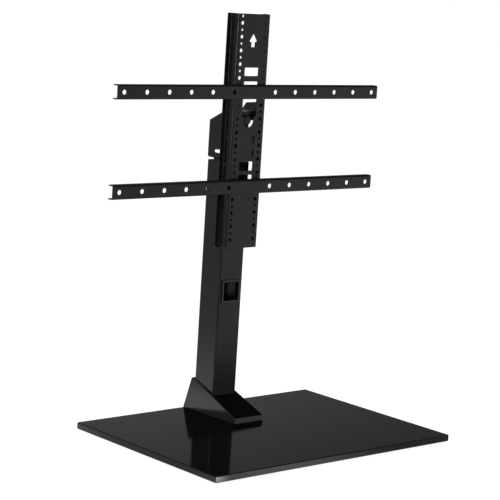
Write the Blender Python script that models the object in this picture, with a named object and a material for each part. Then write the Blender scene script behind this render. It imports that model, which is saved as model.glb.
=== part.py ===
# Table-top television stand: a glossy board, a square column near its back edge, a head that turns on
# the column, a perforated channel that slides up on the head, and two drilled rails across the channel.
# Lengths are metres. X is right, Y is back and Z is up, from the floor under the board's middle.
import math

import bmesh
import bpy
from mathutils import Matrix, Vector

# Fits
CLEARANCE = 0.0003
OVERRUN = 0.002
RUNNING_CLEARANCE = 0.0005

# Board and its pads
BOARD_WIDTH = 0.570
BOARD_DEPTH = 0.400
BOARD_THICKNESS = 0.012
BOARD_CORNER_RADIUS = 0.0035
BOARD_EDGE_RADIUS = 0.0015
PAD_DIAMETER = 0.024
PAD_THICKNESS = 0.003
PAD_EDGE_RADIUS = 0.0006
PAD_INSET = 0.030

# Column, its cable holes and the plate in its mouth
COLUMN_WIDTH = 0.056
COLUMN_WALL = 0.002
COLUMN_CORNER_RADIUS = 0.003
COLUMN_LENGTH = 0.476
COLUMN_BACK_MARGIN = 0.022
CABLE_OPENING = 0.0348
CABLE_CORNER_RADIUS = 0.003
CABLE_HEIGHT = 0.2319
BEZEL_WALL = 0.0015
BEZEL_FRAME = 0.044
BEZEL_FLANGE = 0.0018
BEZEL_SLEEVE = 0.007
TOP_PLATE_THICKNESS = 0.004

# Foot plate, gussets and the bolts from below
FOOT_PLATE_WIDTH = 0.064
FOOT_PLATE_LENGTH = 0.128
FOOT_PLATE_THICKNESS = 0.005
FOOT_PLATE_BACK_MARGIN = 0.010
GUSSET_THICKNESS = 0.003
GUSSET_HEADROOM = 0.003
GUSSET_TOE_MARGIN = 0.008
FOOT_BOLT_DIAMETER = 0.008
FOOT_BOLT_SPACING_X = 0.028
FOOT_BOLT_SPACING_Y = 0.088
FOOT_BOLT_HEAD_DIAMETER = 0.014
FOOT_BOLT_HEAD_HEIGHT = 0.0035
FOOT_BOLT_SOCKET = 0.005
FOOT_WASHER_DIAMETER = 0.018
FOOT_WASHER_THICKNESS = 0.0015
FOOT_HOLE_CLEARANCE = 0.0005
COUNTERBORE_CLEARANCE = 0.001
COUNTERBORE_SPARE = 0.0005

# Foot cover
COVER_BASE_WIDTH = 0.0714
COVER_TOP_WIDTH = 0.060
COVER_LENGTH = 0.1528
COVER_HEIGHT = 0.0605
COVER_BACK_MARGIN = 0.0005
COVER_LIP_HEIGHT = 0.0113
COVER_CREST_OVERLAP = 0.0007
COVER_CREST_SHELF = 0.0072
COVER_WALL = 0.002
COVER_ROOF = 0.0035
COVER_RIM = 0.0025
COVER_RECESS = 0.0015
COVER_RECESS_CORNER = 0.002

# Turning head
HEAD_GAP = 0.0045
SWIVEL_DISC_DIAMETER = 0.056
HEAD_SHEET = 0.003
CHEEK_HEIGHT = 0.1049
EAR_HEIGHT = 0.031
EAR_REACH = 0.0135
EAR_TAB_WIDTH = 0.010
EAR_TAB_THICKNESS = 0.0025
EAR_TAB_RISE = 0.016
EAR_BAR_HEIGHT = 0.0042
EAR_BAR_DROP = 0.0035
LEFT_CHEEK_BACK_DROP = 0.035
RIGHT_CHEEK_FRONT_RISE = 0.0045
RIGHT_CHEEK_SHOULDER_RISE = 0.001
RIGHT_CHEEK_SHOULDER_SETBACK = 0.0165
RIGHT_CHEEK_BACK_DROP = 0.045
CHEEK_CORNER_RADIUS = 0.002
KEYHOLE_HEIGHT = 0.0134
KEYHOLE_DIAMETER = 0.010
KEYHOLE_SLOT = 0.006
KEYHOLE_LENGTH = 0.013
KEYHOLE_SETBACK = 0.023
CROSS_PLATE_THICKNESS = 0.003
CROSS_PLATE_SETBACK = 0.009
CROSS_PLATE_TOP_DROP = 0.016

# Swivel bolt, its washers and nut, and the stop pin
SWIVEL_BOLT_DIAMETER = 0.012
SWIVEL_BOLT_HEAD_WIDTH = 0.018
SWIVEL_BOLT_HEAD_HEIGHT = 0.007
SWIVEL_WASHER_DIAMETER = 0.025
SWIVEL_WASHER_THICKNESS = 0.002
SPRING_WASHER_COUNT = 2
SPRING_WASHER_DIAMETER = 0.023
SPRING_WASHER_THICKNESS = 0.0015
LOCK_NUT_WIDTH = 0.018
LOCK_NUT_HEIGHT = 0.010
SWIVEL_BOLT_SPARE = 0.002
STOP_PIN_DIAMETER = 0.005
STOP_PIN_RADIUS = 0.0175
STOP_ANGLE = math.radians(20)

# Cross rod, bumper and support block that carry the channel
ROD_DIAMETER = 0.006
ROD_EDGE = 0.0119
ROD_SLEEVE_DIAMETER = 0.010
ROD_CLIP_THICKNESS = 0.001
ROD_CLIP_DIAMETER = 0.009
BUMPER_DROP = 0.0172
BUMPER_DIAMETER = 0.017
BUMPER_THICKNESS = 0.004
BUMPER_EDGE_RADIUS = 0.001
BUMPER_STEM_DIAMETER = 0.008
BUMPER_SETBACK = 0.0008
BLOCK_SIDE_GAP = 0.0057
BLOCK_HEIGHT = 0.0505
BLOCK_RISE = 0.0059
BLOCK_RIB_WIDTH = 0.039
BLOCK_SETBACK = 0.0068
BLOCK_EDGE_RADIUS = 0.001
HEAD_SCREW_DIAMETER = 0.005
HEAD_SCREW_HEAD_DIAMETER = 0.009
HEAD_SCREW_HEAD_HEIGHT = 0.003
HEAD_SCREW_SOCKET = 0.003
HEAD_SCREW_BITE = 0.012
HEAD_SCREW_SPARE = 0.001
BLOCK_SCREW_SPACING = 0.030

# Television channel
CHANNEL_WIDTH = 0.0774
CHANNEL_DEPTH = 0.022
CHANNEL_SHEET = 0.002
CHANNEL_BEND = 0.001
CHANNEL_LIP = 0.0086
CHANNEL_END_MARGIN = 0.0171
LIP_END_RADIUS = 0.006
ROW_COUNT = 17
ROW_PITCH = 0.025
ROW_SPACING = 0.0558
LARGE_HOLE_DIAMETER = 0.007
SMALL_HOLE_DIAMETER = 0.0048
SIDE_HOLE_DIAMETER = 0.007
SIDE_HOLE_DEPTH = 0.0152
SIDE_HOLE_COUNT = 5
WINDOW_WIDTH = 0.0332
WINDOW_CORNER_RADIUS = 0.002
LOBE_DIAMETER = 0.024
SLOT_WIDTH = 0.0036
SLOT_HEIGHT = 0.014
SLOT_OFFSET = 0.014
ARROW_WIDTH = 0.0172
ARROW_STEM = 0.009
ARROW_CORNER_RADIUS = 0.001

# Places down the channel's web, in rows of holes below the first row
SIDE_HOLE_ROW_SHARE = 6.45
WINDOW_ROW_SHARES = (3.55, 10.53, 11.77)
WINDOW_HEIGHT_SHARES = (0.61, 0.67, 1.18)
TALL_WINDOW_TOP_SHARE = 4.26
LOBE_ROW_SHARE = 7.168
LOBE_NECK_SHARE = 0.61
SLOT_ROW_SHARES = (8.556, 9.556)
ARROW_LEVEL_SHARES = (0.74, 1.26, 1.36, 1.74)

# Rails, their bosses, screws and washers
RAIL_LENGTH = 0.630
RAIL_HEIGHT = 0.026
RAIL_DEPTH = 0.0138
RAIL_SHEET = 0.002
RAIL_BEND = 0.001
RAIL_HOLE_DIAMETER = 0.0088
RAIL_HOLE_PITCH = 0.050
UPPER_RAIL_ROW = 5
LOWER_RAIL_ROW = 12
RAIL_SCREW_DIAMETER = 0.006
RAIL_SCREW_HEAD_DIAMETER = 0.010
RAIL_SCREW_HEAD_HEIGHT = 0.0035
RAIL_SCREW_SOCKET = 0.004
RAIL_SCREW_BITE = 0.010
RAIL_WASHER_DIAMETER = 0.013
RAIL_WASHER_THICKNESS = 0.0012
RAIL_BOSS_DIAMETER = 0.012

# Set screws that clamp the channel to the support block
SET_SCREW_DIAMETER = 0.006
SET_SCREW_SOCKET = 0.003
SET_SCREW_HOLE = 3
CLINCH_NUT_DIAMETER = 0.011
CLINCH_NUT_LENGTH = 0.0027

# Heights from the floor up
board_bottom = PAD_THICKNESS + CLEARANCE
board_top = board_bottom + BOARD_THICKNESS
plate_bottom = board_top + CLEARANCE
plate_top = plate_bottom + FOOT_PLATE_THICKNESS
column_bottom = plate_top + CLEARANCE
column_top = column_bottom + COLUMN_LENGTH
head_bottom = column_top + HEAD_GAP
head_floor = head_bottom + HEAD_SHEET
head_top = head_bottom + CHEEK_HEIGHT
rod_height = head_top - ROD_EDGE
first_row_height = rod_height + SIDE_HOLE_ROW_SHARE * ROW_PITCH
channel_top = first_row_height + CHANNEL_END_MARGIN
channel_bottom = first_row_height - (ROW_COUNT - 1) * ROW_PITCH - CHANNEL_END_MARGIN

# Depths from the back of the board forward
board_back = BOARD_DEPTH / 2
column_back = board_back - COLUMN_BACK_MARGIN
column_front = column_back - COLUMN_WIDTH
axis_depth = (column_back + column_front) / 2
channel_back = column_front - CLEARANCE
channel_front = channel_back - CHANNEL_DEPTH
web_back = channel_front + CHANNEL_SHEET
rail_back = channel_front - CLEARANCE
rail_front = rail_back - RAIL_DEPTH
rod_depth = channel_front + SIDE_HOLE_DEPTH
ear_front = column_front - EAR_REACH
cross_front = column_front + CROSS_PLATE_SETBACK
cross_back = cross_front + CROSS_PLATE_THICKNESS

# Half widths
column_half = COLUMN_WIDTH / 2
flange_inner = CHANNEL_WIDTH / 2 - CHANNEL_SHEET
block_half = flange_inner - BLOCK_SIDE_GAP
cheek_inner = column_half - HEAD_SHEET
row_half = ROW_SPACING / 2

FINE = 24
MEDIUM = 14
COARSE = 10
CORNER_STEPS = 3
SHARP_ANGLE = math.radians(30)


# Outlines in a plane

def circle(u, v, radius, sides):
    step = 2 * math.pi / sides
    return [(u + radius * math.cos((i + 0.5) * step), v + radius * math.sin((i + 0.5) * step))
            for i in range(sides)]


def rounded(corners, radii, steps=CORNER_STEPS):
    # A closed outline whose corners become arcs, one radius each
    if not isinstance(radii, (list, tuple)):
        radii = [radii] * len(corners)
    outline = []
    for i, corner in enumerate(corners):
        here = Vector(corner)
        before = (Vector(corners[i - 1]) - here)
        after = (Vector(corners[(i + 1) % len(corners)]) - here)
        half_angle = before.angle(after) / 2
        reach = min(radii[i] / math.tan(half_angle), before.length / 2, after.length / 2)
        if reach <= 0:
            outline.append(tuple(here))
            continue
        radius = reach * math.tan(half_angle)
        middle = (before.normalized() + after.normalized()).normalized()
        centre = here + middle * (radius / math.sin(half_angle))
        start = here + before.normalized() * reach - centre
        end = here + after.normalized() * reach - centre
        turn = start.angle_signed(end)
        for k in range(steps + 1):
            share = k / steps
            outline.append(tuple(centre + Matrix.Rotation(-turn * share, 2) @ start))
    return outline


def rectangle(u, v, width, height, radius=0, steps=CORNER_STEPS):
    corners = [(u - width / 2, v - height / 2), (u + width / 2, v - height / 2),
               (u + width / 2, v + height / 2), (u - width / 2, v + height / 2)]
    return rounded(corners, radius, steps) if radius else corners


def bent_sheet(path, thickness, inner_radius, steps=CORNER_STEPS):
    # The cut end of a bent sheet whose middle line follows the path
    middle_radius = inner_radius + thickness / 2
    stations = []
    for i, corner in enumerate(path):
        here = Vector(corner)
        if i in (0, len(path) - 1):
            along = Vector(path[1]) - here if i == 0 else here - Vector(path[-2])
            along.normalize()
            stations.append((here, Vector((-along.y, along.x))))
            continue
        into = (here - Vector(path[i - 1])).normalized()
        out = (Vector(path[i + 1]) - here).normalized()
        side = math.copysign(1, into.x * out.y - into.y * out.x)
        turn = into.angle(out)
        normal = Vector((-into.y, into.x))
        start = here - into * (middle_radius * math.tan(turn / 2))
        centre = start + normal * (side * middle_radius)
        for k in range(steps + 1):
            spin = Matrix.Rotation(side * turn * k / steps, 2)
            stations.append((centre + spin @ (start - centre), spin @ normal))
    left = [tuple(point + normal * (thickness / 2)) for point, normal in stations]
    right = [tuple(point - normal * (thickness / 2)) for point, normal in stations]
    return left + right[::-1]


# Solids

PLANE_AXES = {"XY": (0, 1, 2), "XZ": (0, 2, 1), "YZ": (1, 2, 0)}
AXIS_TURNS = {"+Z": Matrix.Identity(4),
              "-Z": Matrix.Rotation(math.pi, 4, "X"),
              "+Y": Matrix.Rotation(-math.pi / 2, 4, "X"),
              "-Y": Matrix.Rotation(math.pi / 2, 4, "X"),
              "+X": Matrix.Rotation(math.pi / 2, 4, "Y"),
              "-X": Matrix.Rotation(-math.pi / 2, 4, "Y")}


def ring_points(outline, plane, depth):
    u, v, w = PLANE_AXES[plane]
    points = []
    for point in outline:
        place = [0, 0, depth]
        place[u], place[v], place[w] = point[0], point[1], depth
        points.append(place)
    return points


def skin(bm, rings, closed):
    # Joins rings of as many points each; a closed chain is a hoop and an open one has two end faces
    loops = [[bm.verts.new(point) for point in ring] for ring in rings]
    count = len(loops[0])
    pairs = list(zip(loops, loops[1:]))
    if closed:
        pairs.append((loops[-1], loops[0]))
    else:
        bm.faces.new(loops[0])
        bm.faces.new(loops[-1])
    for low, high in pairs:
        for i in range(count):
            j = (i + 1) % count
            bm.faces.new((low[i], low[j], high[j], high[i]))


def prism(bm, outline, plane, low, high):
    skin(bm, [ring_points(outline, plane, low), ring_points(outline, plane, high)], closed=False)


def hoop(bm, sections, plane):
    # sections: (outline, depth) in order round the wall
    skin(bm, [ring_points(outline, plane, depth) for outline, depth in sections], closed=True)


def turned(bm, profile, place, axis, sides):
    # profile: (radius, height) from the bottom up the outside; it ends on the axis or comes round
    frame = Matrix.Translation(place) @ AXIS_TURNS[axis]
    solid = profile[0][0] == 0
    rims = profile[1:-1] if solid else profile
    rings = []
    for radius, height in rims:
        rings.append([frame @ Vector((u, v, height)) for u, v in circle(0, 0, radius, sides)])
    if not solid:
        skin(bm, rings, closed=True)
        return
    skin(bm, rings, closed=False)


def washer(bm, place, axis, outer, inner, thickness, sides):
    turned(bm, [(inner, 0), (outer, 0), (outer, thickness), (inner, thickness)], place, axis, sides)


def rod(bm, place, axis, radius, length, sides):
    turned(bm, [(0, 0), (radius, 0), (radius, length), (0, length)], place, axis, sides)


# Objects

def clear_scene():
    for thing in list(bpy.data.objects):
        bpy.data.objects.remove(thing)


def finish_material(name, colour, roughness, metallic):
    material = bpy.data.materials.new(name)
    material.use_nodes = True
    shader = material.node_tree.nodes["Principled BSDF"]
    shader.inputs["Base Color"].default_value = (*colour, 1)
    shader.inputs["Roughness"].default_value = roughness
    shader.inputs["Metallic"].default_value = metallic
    material.diffuse_color = (*colour, 1)
    return material


FINISHES = {"black lacquer": ((0.012, 0.012, 0.013), 0.06, 0.0),
            "black enamel": ((0.030, 0.030, 0.031), 0.42, 0.0),
            "black moulding": ((0.014, 0.014, 0.015), 0.12, 0.0),
            "black nylon": ((0.018, 0.018, 0.018), 0.55, 0.0),
            "black rubber": ((0.016, 0.016, 0.016), 0.85, 0.0),
            "black oxide": ((0.040, 0.040, 0.042), 0.40, 1.0),
            "bright zinc": ((0.560, 0.570, 0.580), 0.30, 1.0)}


def pivot(name, place, parent=None):
    empty = bpy.data.objects.new(name, None)
    bpy.context.scene.collection.objects.link(empty)
    empty.parent = parent
    empty["place"] = place
    origin = Vector(parent["place"]) if parent else Vector()
    empty.location = Vector(place) - origin
    return empty


def piece(name, bm, finish, parent, place=None):
    # Takes a shape drawn in world coordinates and gives it an origin at its place, or at its parent's
    mesh = bpy.data.meshes.new(name)
    origin = Vector(place) if place else Vector(parent["place"])
    bmesh.ops.recalc_face_normals(bm, faces=bm.faces)
    bmesh.ops.translate(bm, verts=bm.verts, vec=-origin)
    bm.to_mesh(mesh)
    bm.free()
    thing = bpy.data.objects.new(name, mesh)
    bpy.context.scene.collection.objects.link(thing)
    thing.parent = parent
    thing.location = origin - Vector(parent["place"])
    thing["place"] = origin
    if finish:
        mesh.materials.append(finish_material(name, *FINISHES[finish]))
        mesh.shade_smooth()
        mesh.set_sharp_from_angle(angle=SHARP_ANGLE)
    return thing


def combine(target, bm, operation):
    # A guide shape that rides on its target and is cut from it, or joined to it
    guide = piece(target.name + "_guide", bm, None, target)
    guide.hide_render = True
    guide.display_type = "WIRE"
    modifier = target.modifiers.new("Boolean", "BOOLEAN")
    modifier.operation = operation
    modifier.solver = "MANIFOLD"
    modifier.object = guide


def cut(target, bm):
    combine(target, bm, "DIFFERENCE")


def join(target, bm):
    combine(target, bm, "UNION")


def soften(target, width, segments=2, angle=math.radians(60)):
    modifier = target.modifiers.new("Bevel", "BEVEL")
    modifier.width = width
    modifier.segments = segments
    modifier.limit_method = "ANGLE"
    modifier.angle_limit = angle
    modifier.use_clamp_overlap = True


def along(place, axis, distance):
    return Vector(place) + AXIS_TURNS[axis].to_3x3() @ Vector((0, 0, distance))


def cut_socket(target, face, axis, width, depth):
    # A hexagon cut along the axis from the outer face of a screw
    bm = bmesh.new()
    rod(bm, along(face, axis, -OVERRUN), axis, width / math.sqrt(3), depth + OVERRUN, 6)
    cut(target, bm)


def headed_screw(name, parent, place, axis, radius, length, head_radius, head_height, socket_width):
    # place is under the head, and the shank runs along the axis
    crown_share, socket_share = 0.85, 0.6
    bm = bmesh.new()
    turned(bm, [(0, -head_height), (head_radius * crown_share, -head_height),
                (head_radius, -head_height / 2), (head_radius, 0), (radius, 0), (radius, length),
                (0, length)], place, axis, COARSE)
    screw = piece(name, bm, "black oxide", parent, place)
    cut_socket(screw, along(place, axis, -head_height), axis, socket_width, head_height * socket_share)


def washer_piece(name, finish, parent, place, axis, outer, inner, thickness, sides=MEDIUM):
    bm = bmesh.new()
    washer(bm, place, axis, outer, inner, thickness, sides)
    piece(name, bm, finish, parent, place)


def mirrored(value):
    return (-value, value)


SIDES = (("left", -1), ("right", 1))
ENDS = (("front", -1), ("rear", 1))


# The foot

plate_middle = board_back - FOOT_PLATE_BACK_MARGIN - FOOT_PLATE_LENGTH / 2
foot_bolt_places = [(f"{end}_{side}", x * FOOT_BOLT_SPACING_X / 2, plate_middle + y * FOOT_BOLT_SPACING_Y / 2)
                    for end, y in ENDS for side, x in SIDES]
foot_hole_radius = FOOT_BOLT_DIAMETER / 2 + FOOT_HOLE_CLEARANCE
counterbore_depth = FOOT_WASHER_THICKNESS + FOOT_BOLT_HEAD_HEIGHT + 2 * CLEARANCE + COUNTERBORE_SPARE


def base_board(root):
    bm = bmesh.new()
    outline = rectangle(0, 0, BOARD_WIDTH, BOARD_DEPTH, BOARD_CORNER_RADIUS)
    prism(bm, outline, "XY", board_bottom, board_top)
    board = piece("base_board", bm, "black lacquer", root, (0, 0, board_bottom))
    soften(board, BOARD_EDGE_RADIUS, segments=3)
    bores, counterbores = bmesh.new(), bmesh.new()
    width = FOOT_WASHER_DIAMETER / 2 + COUNTERBORE_CLEARANCE
    for _, x, y in foot_bolt_places:
        rod(bores, (x, y, board_bottom), "+Z", foot_hole_radius, BOARD_THICKNESS + OVERRUN, MEDIUM)
        rod(counterbores, (x, y, board_bottom - OVERRUN), "+Z", width, counterbore_depth + OVERRUN, MEDIUM)
    cut(board, bores)
    cut(board, counterbores)


def base_pads(root):
    radius = PAD_DIAMETER / 2
    profile = [(0, 0), (radius - PAD_EDGE_RADIUS, 0), (radius, PAD_EDGE_RADIUS),
               (radius, PAD_THICKNESS), (0, PAD_THICKNESS)]
    for end, y in ENDS:
        for side, x in SIDES:
            place = (x * (BOARD_WIDTH / 2 - PAD_INSET), y * (BOARD_DEPTH / 2 - PAD_INSET), 0)
            bm = bmesh.new()
            turned(bm, profile, place, "+Z", MEDIUM)
            piece(f"base_pad_{end}_{side}", bm, "black rubber", root, place)


def foot_plate(root):
    bm = bmesh.new()
    outline = rectangle(0, plate_middle, FOOT_PLATE_WIDTH, FOOT_PLATE_LENGTH, BOARD_CORNER_RADIUS)
    prism(bm, outline, "XY", plate_bottom, plate_top)
    plate = piece("foot_plate", bm, "black enamel", root, (0, plate_middle, plate_bottom))
    bores = bmesh.new()
    for _, x, y in foot_bolt_places:
        rod(bores, (x, y, plate_bottom - OVERRUN), "+Z", FOOT_BOLT_DIAMETER / 2 + CLEARANCE,
            FOOT_PLATE_THICKNESS + 2 * OVERRUN, MEDIUM)
    cut(plate, bores)


def foot_bolts(root):
    washer_top = board_bottom + counterbore_depth - CLEARANCE
    seat = washer_top - FOOT_WASHER_THICKNESS - CLEARANCE
    for name, x, y in foot_bolt_places:
        washer_piece("foot_washer_" + name, "bright zinc", root, (x, y, washer_top), "-Z",
                     FOOT_WASHER_DIAMETER / 2, foot_hole_radius, FOOT_WASHER_THICKNESS)
        headed_screw("foot_bolt_" + name, root, (x, y, seat), "+Z", FOOT_BOLT_DIAMETER / 2,
                     plate_top - seat, FOOT_BOLT_HEAD_DIAMETER / 2, FOOT_BOLT_HEAD_HEIGHT, FOOT_BOLT_SOCKET)


# The cover's side view: a lip in front, a long slope, a narrow crest behind the column and a steep back
cover_bottom = board_top + CLEARANCE
cover_top = cover_bottom + COVER_HEIGHT
cover_back = board_back - COVER_BACK_MARGIN
cover_front = cover_back - COVER_LENGTH
cover_lip_top = cover_bottom + COVER_LIP_HEIGHT
crest_front = column_back - COVER_CREST_OVERLAP
crest_back = column_back + COVER_CREST_SHELF
cover_slope = math.atan2(cover_top - cover_lip_top, crest_front - cover_front)


def cover_half_width(height):
    share = (height - cover_bottom) / COVER_HEIGHT
    return (COVER_BASE_WIDTH * (1 - share) + COVER_TOP_WIDTH * share) / 2


def cover_underside(depth):
    # Height of the slope's inner face at a place along the cover
    return cover_lip_top + (depth - cover_front) * math.tan(cover_slope) - COVER_ROOF / math.cos(cover_slope)


def cover_wedge(side_view, inset):
    # A side view given as (depth, height) with both sides leaning in
    rings = []
    for side in (-1, 1):
        rings.append([(side * (cover_half_width(height) - inset), depth, height)
                      for depth, height in side_view])
    bm = bmesh.new()
    skin(bm, rings, closed=False)
    return bm


def foot_cover(root):
    outer = [(cover_front, cover_bottom), (cover_front, cover_lip_top), (crest_front, cover_top),
             (crest_back, cover_top), (cover_back, cover_bottom)]
    cover = piece("foot_cover", cover_wedge(outer, 0), "black moulding", root, (0, axis_depth, cover_bottom))
    soften(cover, COVER_RECESS / 2, segments=2, angle=math.radians(25))

    roof_inner = cover_top - COVER_ROOF
    inner_front = cover_front + COVER_WALL
    drop = cover_bottom - OVERRUN
    crest_inner = crest_front + (roof_inner - cover_underside(crest_front)) / math.tan(cover_slope)
    lean = (cover_back - crest_back) / COVER_HEIGHT
    inner = [(inner_front, drop), (inner_front, cover_underside(inner_front)), (crest_inner, roof_inner),
             (crest_back - COVER_WALL + lean * COVER_ROOF, roof_inner),
             (cover_back - COVER_WALL + lean * OVERRUN, drop)]
    cut(cover, cover_wedge(inner, COVER_WALL))

    shaft = bmesh.new()
    width = COLUMN_WIDTH + 2 * CLEARANCE
    outline = rectangle(0, axis_depth, width, width, COLUMN_CORNER_RADIUS)
    prism(shaft, outline, "XY", drop, cover_top + OVERRUN)
    cut(cover, shaft)

    slope_length = (cover_top - cover_lip_top) / math.sin(cover_slope)
    low, high = COVER_RIM, slope_length - COVER_RIM
    corners = []
    for along, side in ((low, -1), (low, 1), (high, 1), (high, -1)):
        height = cover_lip_top + along * math.sin(cover_slope)
        corners.append((side * (cover_half_width(height) - COVER_RIM), along))
    tray = bmesh.new()
    prism(tray, rounded(corners, COVER_RECESS_CORNER), "XY", -COVER_RECESS, OVERRUN)
    tilt = Matrix.Translation((0, cover_front, cover_lip_top)) @ Matrix.Rotation(cover_slope, 4, "X")
    bmesh.ops.transform(tray, matrix=tilt, verts=tray.verts)
    cut(cover, tray)


def gussets(root):
    toe = board_back - FOOT_PLATE_BACK_MARGIN - FOOT_PLATE_LENGTH + GUSSET_TOE_MARGIN
    heel = column_front - CLEARANCE
    side_view = [(toe, column_bottom), (heel, column_bottom),
                 (heel, cover_underside(heel) - GUSSET_HEADROOM),
                 (toe, cover_underside(toe) - GUSSET_HEADROOM)]
    for name, side in SIDES:
        outer = side * (column_half - COLUMN_CORNER_RADIUS)
        inner = outer - side * GUSSET_THICKNESS
        bm = bmesh.new()
        prism(bm, side_view, "YZ", inner, outer)
        piece("gusset_" + name, bm, "black enamel", root, (outer, heel, column_bottom))


# The column

def column(root):
    inner_width = COLUMN_WIDTH - 2 * COLUMN_WALL
    outer = rectangle(0, axis_depth, COLUMN_WIDTH, COLUMN_WIDTH, COLUMN_CORNER_RADIUS)
    inner = rectangle(0, axis_depth, inner_width, inner_width, COLUMN_CORNER_RADIUS - COLUMN_WALL)
    bm = bmesh.new()
    hoop(bm, [(outer, column_bottom), (outer, column_top), (inner, column_top), (inner, column_bottom)], "XY")
    tube = piece("column", bm, "black enamel", root, (0, axis_depth, column_bottom))
    hole = bmesh.new()
    width = CABLE_OPENING + 2 * (BEZEL_WALL + CLEARANCE)
    outline = rectangle(0, column_bottom + CABLE_HEIGHT, width, width, CABLE_CORNER_RADIUS)
    prism(hole, outline, "XZ", column_front - OVERRUN, column_back + OVERRUN)
    cut(tube, hole)


def cable_bezels(root):
    height = column_bottom + CABLE_HEIGHT
    sleeve_width = CABLE_OPENING + 2 * BEZEL_WALL
    frame = rectangle(0, height, BEZEL_FRAME, BEZEL_FRAME, CABLE_CORNER_RADIUS)
    face = rectangle(0, height, BEZEL_FRAME - 2 * CLEARANCE, BEZEL_FRAME - 2 * CLEARANCE, CABLE_CORNER_RADIUS)
    sleeve = rectangle(0, height, sleeve_width, sleeve_width, CABLE_CORNER_RADIUS)
    opening = rectangle(0, height, CABLE_OPENING, CABLE_OPENING, CABLE_CORNER_RADIUS - BEZEL_WALL)
    for name, wall, out in (("cable_bezel_front", column_front, -1), ("cable_bezel_rear", column_back, 1)):
        seat = wall + out * CLEARANCE
        outside = seat + out * BEZEL_FLANGE
        shoulder = outside - out * CLEARANCE
        end = wall - out * BEZEL_SLEEVE
        bm = bmesh.new()
        hoop(bm, [(face, outside), (frame, shoulder), (frame, seat), (sleeve, seat), (sleeve, end),
                  (opening, end), (opening, outside)], "XZ")
        piece(name, bm, "black moulding", root, (0, wall, height))


def column_top_plate(root):
    width = COLUMN_WIDTH - 2 * (COLUMN_WALL + CLEARANCE)
    bm = bmesh.new()
    prism(bm, rectangle(0, axis_depth, width, width, COLUMN_CORNER_RADIUS - COLUMN_WALL), "XY",
          column_top - TOP_PLATE_THICKNESS, column_top)
    plate = piece("column_top_plate", bm, "black enamel", root, (0, axis_depth, column_top))
    bore = bmesh.new()
    depth = TOP_PLATE_THICKNESS + 2 * OVERRUN
    low = column_top - TOP_PLATE_THICKNESS - OVERRUN
    rod(bore, (0, axis_depth, low), "+Z", SWIVEL_BOLT_DIAMETER / 2 + RUNNING_CLEARANCE, depth, FINE)
    cut(plate, bore)
    # The stop pin's slot is an arc round the bolt, with round ends
    slot = bmesh.new()
    half_width = STOP_PIN_DIAMETER / 2 + RUNNING_CLEARANCE
    outline = []
    arc_steps = 8
    for radius, direction in ((STOP_PIN_RADIUS + half_width, 1), (STOP_PIN_RADIUS - half_width, -1)):
        for k in range(arc_steps + 1):
            angle = math.pi / 2 + direction * STOP_ANGLE * (2 * k / arc_steps - 1)
            outline.append((radius * math.cos(angle), axis_depth + radius * math.sin(angle)))
        end_angle = math.pi / 2 + direction * STOP_ANGLE
        for k in range(1, COARSE // 2):
            turn = end_angle + (math.pi * k / (COARSE // 2) if direction > 0 else
                                math.pi + math.pi * k / (COARSE // 2))
            outline.append((STOP_PIN_RADIUS * math.cos(end_angle) + half_width * math.cos(turn),
                            axis_depth + STOP_PIN_RADIUS * math.sin(end_angle) + half_width * math.sin(turn)))
    prism(slot, outline, "XY", low, low + depth)
    cut(plate, slot)


# The turning head

def swivel_disc(head):
    bm = bmesh.new()
    low = column_top + CLEARANCE
    thickness = HEAD_GAP - 2 * CLEARANCE
    washer(bm, (0, axis_depth, low), "+Z", SWIVEL_DISC_DIAMETER / 2, SWIVEL_BOLT_DIAMETER / 2 + CLEARANCE,
           thickness, 2 * FINE)
    disc = piece("swivel_disc", bm, "black nylon", head)
    bore = bmesh.new()
    rod(bore, (0, axis_depth + STOP_PIN_RADIUS, low - OVERRUN), "+Z", STOP_PIN_DIAMETER / 2 + CLEARANCE,
        thickness + 2 * OVERRUN, MEDIUM)
    cut(disc, bore)


def cheek_view(top_line):
    # Side view of one cheek: the ear reaches forward at the top, and top_line is its upper edge from the front
    ear_bottom = head_top - EAR_HEIGHT
    corners = [(column_back, head_bottom), (cross_front, head_bottom), (cross_front, ear_bottom),
               (ear_front, ear_bottom)] + top_line
    radii = [0, 0] + [CHEEK_CORNER_RADIUS] * (len(corners) - 2)
    return rounded(corners, radii)


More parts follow.
